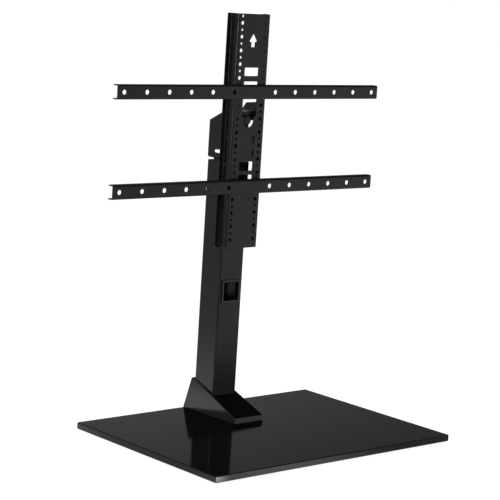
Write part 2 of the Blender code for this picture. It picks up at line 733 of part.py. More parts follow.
def swivel_head(head):
    bm = bmesh.new()
    floor_plan = rectangle(0, axis_depth, COLUMN_WIDTH - HEAD_SHEET, COLUMN_WIDTH)
    prism(bm, floor_plan, "XY", head_bottom, head_floor)
    bracket = piece("swivel_head", bm, "black enamel", head)
    left_line = [(ear_front, head_top), (column_back, head_top - LEFT_CHEEK_BACK_DROP)]
    right_line = [(ear_front, head_top + RIGHT_CHEEK_FRONT_RISE),
                  (column_front + RIGHT_CHEEK_SHOULDER_SETBACK, head_top + RIGHT_CHEEK_SHOULDER_RISE),
                  (column_back, head_top - RIGHT_CHEEK_BACK_DROP)]
    cheeks = bmesh.new()
    prism(cheeks, cheek_view(left_line), "YZ", -column_half, -cheek_inner)
    prism(cheeks, cheek_view(right_line), "YZ", cheek_inner, column_half)
    join(bracket, cheeks)

    # The left ear turns in at its front edge as a narrow tab behind the channel's holes
    tab = bmesh.new()
    tab_bottom, tab_top = head_top - EAR_HEIGHT + CHEEK_CORNER_RADIUS, head_top + EAR_TAB_RISE
    tab_outline = rectangle(-column_half + HEAD_SHEET / 2 + EAR_TAB_WIDTH / 2, (tab_bottom + tab_top) / 2,
                            EAR_TAB_WIDTH, tab_top - tab_bottom)
    prism(tab, tab_outline, "XZ", ear_front + CLEARANCE, ear_front + CLEARANCE + EAR_TAB_THICKNESS)
    join(bracket, tab)

    # A narrow bar below the rod joins the two ears
    bar = bmesh.new()
    bar_outline = rectangle(0, rod_height - EAR_BAR_DROP - EAR_BAR_HEIGHT / 2, COLUMN_WIDTH - HEAD_SHEET,
                            EAR_BAR_HEIGHT)
    prism(bar, bar_outline, "XZ", ear_front + 2 * CLEARANCE, ear_front + EAR_TAB_THICKNESS)
    join(bracket, bar)

    # Keyholes low in both cheeks, each a round mouth with a slot behind it
    mouth_depth = column_front + KEYHOLE_SETBACK
    mouth_height = head_bottom + KEYHOLE_HEIGHT
    reach = math.sqrt((KEYHOLE_DIAMETER / 2) ** 2 - (KEYHOLE_SLOT / 2) ** 2)
    opening = math.atan2(KEYHOLE_SLOT / 2, reach)
    keyhole = []
    for k in range(MEDIUM + 1):
        angle = opening + (2 * math.pi - 2 * opening) * k / MEDIUM
        keyhole.append((mouth_depth + KEYHOLE_DIAMETER / 2 * math.cos(angle),
                        mouth_height + KEYHOLE_DIAMETER / 2 * math.sin(angle)))
    for k in range(COARSE // 2 + 1):
        angle = -math.pi / 2 + math.pi * k / (COARSE // 2)
        keyhole.append((mouth_depth + KEYHOLE_LENGTH + KEYHOLE_SLOT / 2 * math.cos(angle),
                        mouth_height + KEYHOLE_SLOT / 2 * math.sin(angle)))
    holes = bmesh.new()
    prism(holes, keyhole, "YZ", -column_half - OVERRUN, column_half + OVERRUN)
    cut(bracket, holes)

    bores = bmesh.new()
    low = head_bottom - OVERRUN
    depth = HEAD_SHEET + 2 * OVERRUN
    rod(bores, (0, axis_depth, low), "+Z", SWIVEL_BOLT_DIAMETER / 2 + CLEARANCE, depth, FINE)
    rod(bores, (0, axis_depth + STOP_PIN_RADIUS, low), "+Z", STOP_PIN_DIAMETER / 2 + CLEARANCE, depth, MEDIUM)
    rod(bores, (-column_half - OVERRUN, rod_depth, rod_height), "+X", ROD_DIAMETER / 2 + CLEARANCE,
        COLUMN_WIDTH + 2 * OVERRUN, MEDIUM)
    cut(bracket, bores)


bumper_height = rod_height - BUMPER_DROP
block_bottom = head_bottom + BLOCK_RISE
block_middle = block_bottom + BLOCK_HEIGHT / 2
block_back = cross_front - CLEARANCE
block_shoulder = web_back + BLOCK_SETBACK
block_screw_places = [(side, x * BLOCK_SCREW_SPACING / 2) for side, x in SIDES]


def cross_plate(head):
    bm = bmesh.new()
    edge = cheek_inner - CLEARANCE
    top = head_top - CROSS_PLATE_TOP_DROP
    bottom = head_floor + CLEARANCE
    prism(bm, rectangle(0, (top + bottom) / 2, 2 * edge, top - bottom), "XZ", cross_front, cross_back)
    plate = piece("cross_plate", bm, "black enamel", head)
    bores = bmesh.new()
    for x, z in [(x, block_middle) for _, x in block_screw_places] + [(0, bumper_height)]:
        rod(bores, (x, cross_front - OVERRUN, z), "+Y", HEAD_SCREW_DIAMETER / 2 + CLEARANCE,
            CROSS_PLATE_THICKNESS + 2 * OVERRUN, COARSE)
    cut(plate, bores)


def head_screw(name, head, x, z):
    # From the back of the cross plate forward into the piece that it holds
    seat = cross_back + CLEARANCE
    headed_screw(name, head, (x, seat, z), "-Y", HEAD_SCREW_DIAMETER / 2, seat - block_back + HEAD_SCREW_BITE,
                 HEAD_SCREW_HEAD_DIAMETER / 2, HEAD_SCREW_HEAD_HEIGHT, HEAD_SCREW_SOCKET)


head_screw_bore_depth = HEAD_SCREW_BITE + HEAD_SCREW_SPARE


def support_block(head):
    bm = bmesh.new()
    half, rib = block_half, BLOCK_RIB_WIDTH / 2
    rib_front = web_back + CLEARANCE
    plan = [(-half, block_back), (-half, block_shoulder), (-rib, block_shoulder), (-rib, rib_front),
            (rib, rib_front), (rib, block_shoulder), (half, block_shoulder), (half, block_back)]
    radii = [0] + [BLOCK_EDGE_RADIUS] * 6 + [0]
    prism(bm, rounded(plan, radii), "XY", block_bottom, block_bottom + BLOCK_HEIGHT)
    block = piece("support_block", bm, "black nylon", head)
    bores = bmesh.new()
    for name, x in block_screw_places:
        rod(bores, (x, block_back + OVERRUN, block_middle), "-Y", HEAD_SCREW_DIAMETER / 2 + CLEARANCE,
            head_screw_bore_depth + OVERRUN, COARSE)
        head_screw("block_screw_" + name, head, x, block_middle)
    cut(block, bores)


def round_bumper(head):
    face = web_back + BUMPER_SETBACK
    stem = BUMPER_STEM_DIAMETER / 2
    radius = BUMPER_DIAMETER / 2
    length = block_back - face
    bore_end = length - head_screw_bore_depth
    bore = HEAD_SCREW_DIAMETER / 2 + CLEARANCE
    bm = bmesh.new()
    turned(bm, [(0, 0), (radius - BUMPER_EDGE_RADIUS, 0), (radius, BUMPER_EDGE_RADIUS),
                (radius, BUMPER_THICKNESS), (stem, BUMPER_THICKNESS), (stem, length), (bore, length),
                (bore, bore_end), (0, bore_end)], (0, face, bumper_height), "+Y", FINE)
    piece("round_bumper", bm, "black nylon", head)
    head_screw("bumper_screw", head, 0, bumper_height)


def tie_rod(head):
    half = flange_inner - CLEARANCE
    bm = bmesh.new()
    rod(bm, (-half, rod_depth, rod_height), "+X", ROD_DIAMETER / 2, 2 * half, MEDIUM)
    piece("tie_rod", bm, "bright zinc", head)
    bore = ROD_DIAMETER / 2 + CLEARANCE
    clip_start = half - ROD_CLIP_THICKNESS
    sleeve_start = column_half + CLEARANCE
    for (name, side), axis in zip(SIDES, ("-X", "+X")):
        washer_piece("rod_sleeve_" + name, "black nylon", head, (side * sleeve_start, rod_depth, rod_height),
                     axis, ROD_SLEEVE_DIAMETER / 2, bore, clip_start - CLEARANCE - sleeve_start)
        washer_piece("rod_clip_" + name, "black oxide", head, (side * clip_start, rod_depth, rod_height),
                     axis, ROD_CLIP_DIAMETER / 2, bore, ROD_CLIP_THICKNESS)


def swivel_hardware(head):
    # Down the swivel axis: bolt head and washer in the bracket, then washers and nut in the column
    bore = SWIVEL_BOLT_DIAMETER / 2 + CLEARANCE
    upper = head_floor + CLEARANCE
    under = column_top - TOP_PLATE_THICKNESS - CLEARANCE
    for name, height, axis in (("upper", upper, "+Z"), ("lower", under, "-Z")):
        washer_piece("swivel_washer_" + name, "bright zinc", head, (0, axis_depth, height), axis,
                     SWIVEL_WASHER_DIAMETER / 2, bore, SWIVEL_WASHER_THICKNESS, FINE)
    level = under - SWIVEL_WASHER_THICKNESS - CLEARANCE
    for index in range(SPRING_WASHER_COUNT):
        washer_piece(f"spring_washer_{index + 1}", "black oxide", head, (0, axis_depth, level), "-Z",
                     SPRING_WASHER_DIAMETER / 2, bore, SPRING_WASHER_THICKNESS, FINE)
        level -= SPRING_WASHER_THICKNESS + CLEARANCE

    nut = bmesh.new()
    nut_bottom = level - LOCK_NUT_HEIGHT
    prism(nut, circle(0, axis_depth, LOCK_NUT_WIDTH / math.sqrt(3), 6), "XY", nut_bottom, level)
    thing = piece("lock_nut", nut, "bright zinc", head)
    hole = bmesh.new()
    rod(hole, (0, axis_depth, nut_bottom - OVERRUN), "+Z", bore, LOCK_NUT_HEIGHT + 2 * OVERRUN, FINE)
    cut(thing, hole)

    seat = upper + SWIVEL_WASHER_THICKNESS + CLEARANCE
    bolt = bmesh.new()
    prism(bolt, circle(0, axis_depth, SWIVEL_BOLT_HEAD_WIDTH / math.sqrt(3), 6), "XY",
          seat, seat + SWIVEL_BOLT_HEAD_HEIGHT)
    thing = piece("swivel_bolt", bolt, "bright zinc", head)
    shank = bmesh.new()
    end = nut_bottom - SWIVEL_BOLT_SPARE
    rod(shank, (0, axis_depth, end), "+Z", SWIVEL_BOLT_DIAMETER / 2,
        seat + SWIVEL_BOLT_HEAD_HEIGHT / 2 - end, FINE)
    join(thing, shank)

    pin = bmesh.new()
    tip = column_top - TOP_PLATE_THICKNESS
    rod(pin, (0, axis_depth + STOP_PIN_RADIUS, tip), "+Z", STOP_PIN_DIAMETER / 2, head_floor - tip, MEDIUM)
    piece("stop_pin", pin, "bright zinc", head)


# The channel

def row_height(row):
    return first_row_height - row * ROW_PITCH


def arrow():
    # Arrow pointing up
    tip, wing, shoulder, foot = (row_height(share) for share in ARROW_LEVEL_SHARES)
    half, stem = ARROW_WIDTH / 2, ARROW_STEM / 2
    corners = [(0, tip), (half, wing), (half, shoulder), (stem, shoulder), (stem, foot),
               (-stem, foot), (-stem, shoulder), (-half, shoulder), (-half, wing)]
    return rounded(corners, ARROW_CORNER_RADIUS, steps=2)


def tall_window():
    # The long window and the round lobe at its foot, as one outline
    top, lobe = row_height(TALL_WINDOW_TOP_SHARE), row_height(LOBE_ROW_SHARE)
    half, radius = WINDOW_WIDTH / 2, LOBE_DIAMETER / 2
    foot = lobe + radius * LOBE_NECK_SHARE
    start = math.asin(LOBE_NECK_SHARE)
    corners = rounded([(half, foot), (half, top), (-half, top), (-half, foot)], WINDOW_CORNER_RADIUS)
    arc = []
    for k in range(FINE + 1):
        angle = math.pi - start + (math.pi + 2 * start) * k / FINE
        arc.append((radius * math.cos(angle), lobe + radius * math.sin(angle)))
    return corners + arc


def tv_channel(carriage):
    lip_edge = CHANNEL_WIDTH / 2 + CHANNEL_LIP
    flange = CHANNEL_WIDTH / 2 - CHANNEL_SHEET / 2
    web = channel_front + CHANNEL_SHEET / 2
    lip = channel_back - CHANNEL_SHEET / 2
    path = [(-lip_edge, lip), (-flange, lip), (-flange, web), (flange, web), (flange, lip), (lip_edge, lip)]
    bm = bmesh.new()
    prism(bm, bent_sheet(path, CHANNEL_SHEET, CHANNEL_BEND), "XY", channel_bottom, channel_top)
    channel = piece("tv_channel", bm, "black enamel", carriage)

    # Windows, arrow, lobe and slots through the web
    windows = bmesh.new()
    outlines = [arrow(), tall_window()]
    for row_share, height_share in zip(WINDOW_ROW_SHARES, WINDOW_HEIGHT_SHARES):
        outlines.append(rectangle(0, row_height(row_share), WINDOW_WIDTH, height_share * ROW_PITCH,
                                  WINDOW_CORNER_RADIUS))
    for row_share in SLOT_ROW_SHARES:
        outlines.append(rectangle(SLOT_OFFSET, row_height(row_share), SLOT_WIDTH, SLOT_HEIGHT,
                                  SLOT_WIDTH / 3))
    front, back = channel_front - OVERRUN, web_back + OVERRUN
    for outline in outlines:
        prism(windows, outline, "XZ", front, back)
    cut(channel, windows)

    # Two columns of large holes, with a small hole half a pitch above each but the upper rail's
    rows = bmesh.new()
    for x in mirrored(row_half):
        for row in range(ROW_COUNT):
            rod(rows, (x, front, row_height(row)), "+Y", LARGE_HOLE_DIAMETER / 2, back - front, MEDIUM)
            if row != UPPER_RAIL_ROW:
                rod(rows, (x, front, row_height(row - 0.5)), "+Y", SMALL_HOLE_DIAMETER / 2, back - front, COARSE)
    cut(channel, rows)

    # Side holes through both flanges, in line with the cross rod, and round lower ends on the lips
    sides = bmesh.new()
    for index in range(SIDE_HOLE_COUNT):
        for side in (-1, 1):
            start = min(side * (flange_inner - OVERRUN), side * (CHANNEL_WIDTH / 2 + OVERRUN))
            rod(sides, (start, rod_depth, rod_height - index * ROW_PITCH), "+X", SIDE_HOLE_DIAMETER / 2,
                CHANNEL_SHEET + 2 * OVERRUN, MEDIUM)
    for side in (-1, 1):
        centre = side * (lip_edge - LIP_END_RADIUS)
        rim = channel_bottom + LIP_END_RADIUS
        outside = side * (lip_edge + OVERRUN)
        below = channel_bottom - OVERRUN
        outline = [(outside, rim), (outside, below), (centre, below)]
        for k in range(COARSE // 2 + 1):
            angle = math.pi / 2 * k / (COARSE // 2)
            outline.append((centre + side * LIP_END_RADIUS * math.sin(angle),
                            rim - LIP_END_RADIUS * math.cos(angle)))
        prism(sides, outline, "XZ", lip - CHANNEL_SHEET, channel_back + OVERRUN)
    cut(channel, sides)


# Rails and what holds them

rail_rows = (("upper_rail", UPPER_RAIL_ROW), ("lower_rail", LOWER_RAIL_ROW))


def rail(carriage, name, row):
    height = row_height(row)
    edge = RAIL_HEIGHT / 2 - RAIL_SHEET / 2
    web = rail_front + RAIL_SHEET / 2
    path = [(rail_back, height + edge), (web, height + edge),
            (web, height - edge), (rail_back, height - edge)]
    bm = bmesh.new()
    prism(bm, bent_sheet(path, RAIL_SHEET, RAIL_BEND), "YZ", -RAIL_LENGTH / 2, RAIL_LENGTH / 2)
    thing = piece(name, bm, "black enamel", carriage)
    holes = bmesh.new()
    count = int((RAIL_LENGTH / 2 - RAIL_HOLE_DIAMETER) / RAIL_HOLE_PITCH)
    for index in range(1, count + 1):
        for x in mirrored(index * RAIL_HOLE_PITCH):
            rod(holes, (x, rail_front - OVERRUN, height), "+Y", RAIL_HOLE_DIAMETER / 2,
                RAIL_SHEET + 2 * OVERRUN, MEDIUM)
    cut(thing, holes)


def rail_fasteners(carriage):
    bore = RAIL_SCREW_DIAMETER / 2 + CLEARANCE
    boss_front = rail_front + RAIL_SHEET + CLEARANCE
    washer_front = web_back + CLEARANCE
    seat = washer_front + RAIL_WASHER_THICKNESS + CLEARANCE
    length = seat - rail_back + RAIL_SCREW_BITE
    for (rail_name, row), (side, x) in ((r, s) for r in rail_rows for s in SIDES):
        place = f"{rail_name.split('_')[0]}_{side}"
        middle, height = x * row_half, row_height(row)
        washer_piece("rail_boss_" + place, "bright zinc", carriage, (middle, boss_front, height), "+Y",
                     RAIL_BOSS_DIAMETER / 2, bore, rail_back - boss_front)
        washer_piece("rail_washer_" + place, "bright zinc", carriage, (middle, washer_front, height), "+Y",
                     RAIL_WASHER_DIAMETER / 2, bore, RAIL_WASHER_THICKNESS)
        headed_screw("rail_screw_" + place, carriage, (middle, seat, height), "-Y", RAIL_SCREW_DIAMETER / 2,
                     length, RAIL_SCREW_HEAD_DIAMETER / 2, RAIL_SCREW_HEAD_HEIGHT, RAIL_SCREW_SOCKET)


def set_screws(carriage):
    height = rod_height - SET_SCREW_HOLE * ROW_PITCH
    tip = block_half + CLEARANCE
    length = CHANNEL_WIDTH / 2 - CLEARANCE - tip
    for (name, side), axis, inward in zip(SIDES, ("-X", "+X"), ("+X", "-X")):
        bm = bmesh.new()
        place = (side * tip, rod_depth, height)
        rod(bm, place, axis, SET_SCREW_DIAMETER / 2, length, COARSE)
        screw = piece("set_screw_" + name, bm, "black oxide", carriage, place)
        cut_socket(screw, along(place, axis, length), inward, SET_SCREW_SOCKET, length / 2)
        washer_piece("clinch_nut_" + name, "bright zinc", carriage,
                     (side * (flange_inner - CLEARANCE), rod_depth, height), inward,
                     CLINCH_NUT_DIAMETER / 2, SET_SCREW_DIAMETER / 2 + CLEARANCE, CLINCH_NUT_LENGTH)


def build():
    clear_scene()
    root = pivot("stand", (0, 0, 0))
    base_board(root)
    base_pads(root)
    foot_plate(root)
    foot_bolts(root)
    foot_cover(root)
    gussets(root)
    column(root)
    cable_bezels(root)
    column_top_plate(root)
    head = pivot("swivel_axis", (0, axis_depth, head_bottom), root)
    swivel_disc(head)
    swivel_head(head)
    cross_plate(head)
    support_block(head)
    round_bumper(head)
    tie_rod(head)
    swivel_hardware(head)
    carriage = pivot("height_slide", (0, rod_depth, rod_height), head)
    tv_channel(carriage)
    for name, row in rail_rows:
        rail(carriage, name, row)
    rail_fasteners(carriage)
    set_screws(carriage)


build()
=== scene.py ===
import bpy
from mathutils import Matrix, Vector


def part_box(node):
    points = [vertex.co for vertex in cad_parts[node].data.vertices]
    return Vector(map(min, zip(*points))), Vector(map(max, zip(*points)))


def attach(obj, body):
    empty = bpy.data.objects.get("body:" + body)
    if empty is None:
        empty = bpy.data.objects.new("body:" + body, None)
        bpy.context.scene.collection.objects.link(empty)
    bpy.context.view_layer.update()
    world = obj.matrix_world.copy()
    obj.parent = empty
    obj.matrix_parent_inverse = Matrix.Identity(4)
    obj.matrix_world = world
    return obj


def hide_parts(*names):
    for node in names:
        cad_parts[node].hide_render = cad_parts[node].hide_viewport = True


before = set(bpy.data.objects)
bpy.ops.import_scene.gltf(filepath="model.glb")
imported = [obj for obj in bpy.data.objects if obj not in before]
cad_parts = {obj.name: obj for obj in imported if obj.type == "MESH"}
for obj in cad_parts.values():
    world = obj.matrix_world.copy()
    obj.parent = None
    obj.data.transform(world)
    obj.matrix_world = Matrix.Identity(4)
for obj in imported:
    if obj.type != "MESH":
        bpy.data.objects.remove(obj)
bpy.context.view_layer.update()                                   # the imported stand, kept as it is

import math

import bmesh
import bpy
from mathutils import Matrix, Vector

# A black television stand on a glossy board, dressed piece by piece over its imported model.
# Lengths are metres, and mm turns a size in millimetres into them.
mm = 0.001
scene = bpy.context.scene


# Colours and nodes

def linearColour(hexText):                          # sRGB hex to the linear values that shaders take
    levels = [int(hexText[i:i + 2], 16) / 255 for i in (0, 2, 4)]
    return [v / 12.92 if v <= 0.04045 else ((v + 0.055) / 1.055) ** 2.4 for v in levels] + [1.0]


def addNode(tree, kind, settings=None, links=None):  # one node, its settings, and what feeds its sockets
    node = tree.nodes.new("ShaderNode" + kind)
    for key, value in (settings or {}).items():
        if isinstance(key, int) or key in node.inputs:
            node.inputs[key].default_value = value
        else:
            setattr(node, key, value)
    for key, source in (links or {}).items():       # a node stands for its first output
        tree.links.new(source.outputs[0] if isinstance(source, bpy.types.Node) else source, node.inputs[key])
    return node


def clearTree(owner):                               # the node tree of a material or world, emptied
    owner.use_nodes = True
    owner.node_tree.nodes.clear()
    return owner.node_tree


def layFinish(look):
    # A surface with patches of differing sheen, a fine grain in relief, and paler edges: wear, and on the
    # lacquer a painted highlight
    material = bpy.data.materials.new(look["name"])
    tree = clearTree(material)
    place = addNode(tree, "TexCoord").outputs["Object"]
    grain = addNode(tree, "TexNoise", {"Scale": 1 / (look["grainSize"] * mm), "Detail": 3.0,
                                       "Roughness": 0.6}, {"Vector": place})
    patches = addNode(tree, "TexNoise", {"Scale": 1 / (look["patchSize"] * mm), "Detail": 4.0},
                      {"Vector": place})
    specks = addNode(tree, "TexVoronoi", {"Scale": 1 / (look["speckSpacing"] * mm), "Randomness": 1.0},
                     {"Vector": place})
    speckMask = addNode(tree, "MapRange", {"From Min": 0.0, "From Max": look["speckShare"], "To Min": 1.0,
                                           "To Max": 0.0}, {"Value": specks.outputs["Distance"]})
    # Where the rounded normal leaves the flat one there is an edge
    rounded = addNode(tree, "Bevel", {"samples": 6, "Radius": look["edgeWidth"] * mm})
    flat = addNode(tree, "NewGeometry")
    agreement = addNode(tree, "VectorMath", {"operation": "DOT_PRODUCT"},
                        {0: rounded, 1: flat.outputs["Normal"]})
    edgeWearAndHighlightMask = addNode(tree, "MapRange", {"From Min": 0.98, "From Max": 0.80, "To Min": 0.0,
                                          "To Max": look["edgeShare"]},
                       {"Value": agreement.outputs["Value"]})
    brokenEdgeWearAndHighlight = addNode(tree, "Math", {"operation": "MULTIPLY"},
                         {0: edgeWearAndHighlightMask, 1: patches.outputs["Fac"]})
    tint = addNode(tree, "Mix", {"data_type": "RGBA", 6: linearColour(look["colour"]),
                                 7: linearColour(look["patchColour"])}, {0: patches.outputs["Fac"]})
    dusty = addNode(tree, "Mix", {"data_type": "RGBA", 7: linearColour(look["speckColour"])},
                    {0: speckMask, 6: tint.outputs[2]})
    # Paler edges: wear, and where the edge colour is bright, as on the lacquer, a painted highlight
    edgeWearAndHighlight = addNode(tree, "Mix", {"data_type": "RGBA", 7: linearColour(look["edgeWearAndHighlightColour"])},
                   {0: brokenEdgeWearAndHighlight, 6: dusty.outputs[2]})
    sheen = addNode(tree, "MapRange", {"From Min": 0.3, "From Max": 0.7, "To Min": look["roughness"][0],
                                       "To Max": look["roughness"][1]}, {"Value": patches.outputs["Fac"]})
    relief = addNode(tree, "Bump", {"Strength": 1.0, "Distance": look["grainHeight"] * mm},
                     {"Height": grain.outputs["Fac"]})
    shader = addNode(tree, "BsdfPrincipled", {"Metallic": look["metallic"]},
                     {"Base Color": edgeWearAndHighlight.outputs[2], "Roughness": sheen, "Normal": relief})
    if not look["metallic"]:                        # a metal keeps the default
        shader.inputs["IOR"].default_value = look["ior"]
    addNode(tree, "OutputMaterial", links={"Surface": shader})
    return material


# Sizes are in millimetres: patches are where the sheen changes, the grain is relief, specks are dust.
# Real grain on moulded nylon, rubber and plated or blackened steel is near 0.1 mm, and it is drawn at 0.5 mm
# and more so that it shows.
looks = {
    # Polyurethane lacquer rubbed and buffed on fibreboard: deep black, mirror-like, with faint haze and dust.
    # Its relief is the slow wave that rubbing leaves, about 6 mm across.
    # Its pale grey edges are a painted highlight.
    "black_lacquer": {"name": "buffedBlackLacquer", "colour": "070708", "patchColour": "0b0b0c",
                      "speckColour": "2a2a2c", "edgeWearAndHighlightColour": "88888a", "roughness": (0.07, 0.11), "ior": 1.5,
                      "metallic": 0.0, "patchSize": 70, "grainSize": 6.0, "grainHeight": 0.006,
                      "speckSpacing": 9.0, "speckShare": 0.035, "edgeWidth": 1.0, "edgeShare": 0.5},
    # Baked epoxy powder coat on steel: satin black with a fine orange peel, a little paler at thin edges.
    # Real peel is about 1 mm across, and it is drawn at 2 mm so that it shows.
    "black_enamel": {"name": "bakedBlackPowderCoat", "colour": "0a0a0b", "patchColour": "0e0e0f",
                     "speckColour": "202022", "edgeWearAndHighlightColour": "101011", "roughness": (0.30, 0.38), "ior": 1.5,
                     "metallic": 0.0, "patchSize": 35, "grainSize": 2.0, "grainHeight": 0.02,
                     "speckSpacing": 7.0, "speckShare": 0.04, "edgeWidth": 0.6, "edgeShare": 0.7},
    # Injection-moulded ABS from a polished tool: glossy black with slight flow waves, about 5 mm across
    "black_moulding": {"name": "polishedMouldedAbs", "colour": "060607", "patchColour": "09090a",
                       "speckColour": "222224", "edgeWearAndHighlightColour": "1a1a1c", "roughness": (0.09, 0.15),
                       "ior": 1.53, "metallic": 0.0, "patchSize": 25, "grainSize": 5.0, "grainHeight": 0.004,
                       "speckSpacing": 8.0, "speckShare": 0.03, "edgeWidth": 0.7, "edgeShare": 0.6},
    # Injection-moulded nylon with a spark-eroded grain: matt black that greys where it rubs
    "black_nylon": {"name": "grainedMouldedNylon", "colour": "121213", "patchColour": "18181a",
                    "speckColour": "333335", "edgeWearAndHighlightColour": "38383a", "roughness": (0.45, 0.58), "ior": 1.53,
                    "metallic": 0.0, "patchSize": 14, "grainSize": 0.9, "grainHeight": 0.03,
                    "speckSpacing": 5.0, "speckShare": 0.05, "edgeWidth": 0.5, "edgeShare": 0.8},
    # Compression-moulded nitrile rubber: dead matt, with a pale bloom in patches
    "black_rubber": {"name": "mouldedNitrileRubber", "colour": "131313", "patchColour": "1e1e1d",
                     "speckColour": "3a3936", "edgeWearAndHighlightColour": "2c2c2b", "roughness": (0.78, 0.90), "ior": 1.52,
                     "metallic": 0.0, "patchSize": 8, "grainSize": 0.6, "grainHeight": 0.05,
                     "speckSpacing": 4.0, "speckShare": 0.08, "edgeWidth": 0.5, "edgeShare": 0.8},
    # Steel blackened in a hot salt bath and oiled: dark metal with brown patches and bare bright edges
    "black_oxide": {"name": "oiledBlackOxideSteel", "colour": "2b2b2d", "patchColour": "3a3633",
                    "speckColour": "4c4a48", "edgeWearAndHighlightColour": "8b8b8d", "roughness": (0.30, 0.45),
                    "metallic": 1.0, "patchSize": 6, "grainSize": 0.5, "grainHeight": 0.01,
                    "speckSpacing": 2.5, "speckShare": 0.06, "edgeWidth": 0.3, "edgeShare": 0.8},
    # Bright electroplated zinc on turned steel: cool silver, lightly mottled, with a faint fine grain
    "bright_zinc": {"name": "brightZincPlatedSteel", "colour": "b4b8bd", "patchColour": "c6cacd",
                    "speckColour": "8e9298", "edgeWearAndHighlightColour": "dddfe2", "roughness": (0.30, 0.44),
                    "metallic": 1.0, "patchSize": 5, "grainSize": 0.5, "grainHeight": 0.006,
                    "speckSpacing": 2.0, "speckShare": 0.08, "edgeWidth": 0.3, "edgeShare": 0.7},
}
finishes = {slotName: layFinish(look) for slotName, look in looks.items()}
print("finishes mixed:", len(finishes))


# Outlines in a plane

def circleOutline(u, v, radius, count=40):
    return [(u + radius * math.cos(2 * math.pi * i / count), v + radius * math.sin(2 * math.pi * i / count))
            for i in range(count)]


def roundedOutline(corners, radii, steps=6):        # corners become arcs, each with its own radius
    if not isinstance(radii, (list, tuple)):
        radii = [radii] * len(corners)
    outline = []
    for i, corner in enumerate(corners):
        here = Vector(corner)
        before, after = Vector(corners[i - 1]) - here, Vector(corners[(i + 1) % len(corners)]) - here
        halfAngle = before.angle(after) / 2
        reach = min(radii[i] / math.tan(halfAngle), before.length / 2, after.length / 2)
        if reach <= 0:
            outline.append(tuple(here))
            continue
        middle = (before.normalized() + after.normalized()).normalized()
        centre = here + middle * (reach / math.cos(halfAngle))
        start, end = here + before.normalized() * reach - centre, here + after.normalized() * reach - centre
        turn = start.angle_signed(end)
        outline += [tuple(centre + Matrix.Rotation(-turn * k / steps, 2) @ start) for k in range(steps + 1)]
    return outline


def rectangleOutline(u, v, width, height, radius, steps=6):
    halfWidth, halfHeight = width / 2, height / 2
    corners = [(u - halfWidth, v - halfHeight), (u + halfWidth, v - halfHeight),
               (u + halfWidth, v + halfHeight), (u - halfWidth, v + halfHeight)]
    return roundedOutline(corners, radius, steps)


# Solids

def spacePoint(axis, u, v, depth):
    if axis == "X":
        return (depth, u, v)
    return (u, depth, v) if axis == "Y" else (u, v, depth)


def loftRings(rings, hollow=False):                 # skin over rings of equal count, a closed loop if hollow
    mesh = bmesh.new()
    rows = [[mesh.verts.new(point) for point in ring] for ring in rings]
    for low, high in zip(rows, rows[1:] + rows[:1] if hollow else rows[1:]):
        for i in range(len(low)):
            j = (i + 1) % len(low)
            mesh.faces.new((low[i], low[j], high[j], high[i]))
    if not hollow:
        mesh.faces.new(rows[0][::-1])
        mesh.faces.new(rows[-1])
    bmesh.ops.recalc_face_normals(mesh, faces=mesh.faces)
    return mesh


def extrudeOutline(axis, outline, low, high):
    return loftRings([[spacePoint(axis, u, v, depth) for u, v in outline] for depth in (low, high)])


def spinProfile(place, axis, profile, count=48):
    # Rings of (radius, distance along the axis, flats): no flats is round, six is a hexagon across its flats
    sign, letter = (-1 if axis[0] == "-" else 1), axis[1]
    rings = []
    for radius, distance, flats in profile:
        ring = []
        for i in range(count):
            angle = 2 * math.pi * i / count
            reach = radius
            if flats:
                sector = 2 * math.pi / flats
                reach = radius / math.cos((angle % sector) - sector / 2)
            offset = spacePoint(letter, reach * math.cos(angle), reach * math.sin(angle), sign * distance)
            ring.append(Vector(place) + Vector(offset))
        rings.append(ring)
    hollow = profile[0] == profile[-1]
    return loftRings(rings[:-1] if hollow else rings, hollow)


def cutBlank(outlines, thickness, rim):             # a flat sheet with holes and slightly rounded cut edges
    curve = bpy.data.curves.new("blank", "CURVE")
    curve.dimensions, curve.fill_mode = "2D", "BOTH"
    curve.extrude, curve.bevel_depth, curve.bevel_resolution = thickness / 2 - rim, rim, 1
    curve.offset = -rim
    for outline in outlines:
        spline = curve.splines.new("POLY")
        spline.points.add(len(outline) - 1)
        for point, (u, v) in zip(spline.points, outline):
            point.co = (u, v, 0, 1)
        spline.use_cyclic_u = True
    holder = bpy.data.objects.new("blank", curve)
    scene.collection.objects.link(holder)
    flatMesh = bpy.data.meshes.new_from_object(holder.evaluated_get(bpy.context.evaluated_depsgraph_get()))
    mesh = bmesh.new()
    mesh.from_mesh(flatMesh)
    bpy.data.objects.remove(holder)
    bmesh.ops.remove_doubles(mesh, verts=mesh.verts, dist=0.002 * mm)
    return mesh


def foldStations(path, radius, steps=6):
    # Places along the middle line of a bent sheet as (length from the middle, point, normal)
    stations, reach = [], 0.0
    for i, corner in enumerate(path):
        here = Vector(corner)
        if i in (0, len(path) - 1):
            step = (Vector(path[1]) - here if i == 0 else here - Vector(path[-2])).normalized()
            reach += 0 if i == 0 else (here - stations[-1][1]).length
            stations.append((reach, here, Vector((-step.y, step.x))))
            continue
        into, out = (here - Vector(path[i - 1])).normalized(), (Vector(path[i + 1]) - here).normalized()
        turn = math.copysign(into.angle(out), into.x * out.y - into.y * out.x)
        normal = Vector((-into.y, into.x))
        start = here - into * (radius * math.tan(abs(turn) / 2))
        centre = start + normal * math.copysign(radius, turn)
        reach += (start - stations[-1][1]).length
        for k in range(steps + 1):
            spin = Matrix.Rotation(turn * k / steps, 2)
            stations.append((reach + radius * abs(turn) * k / steps, centre + spin @ (start - centre),
                             spin @ normal))
        reach += radius * abs(turn)
    return [(length - reach / 2, point, normal) for length, point, normal in stations]


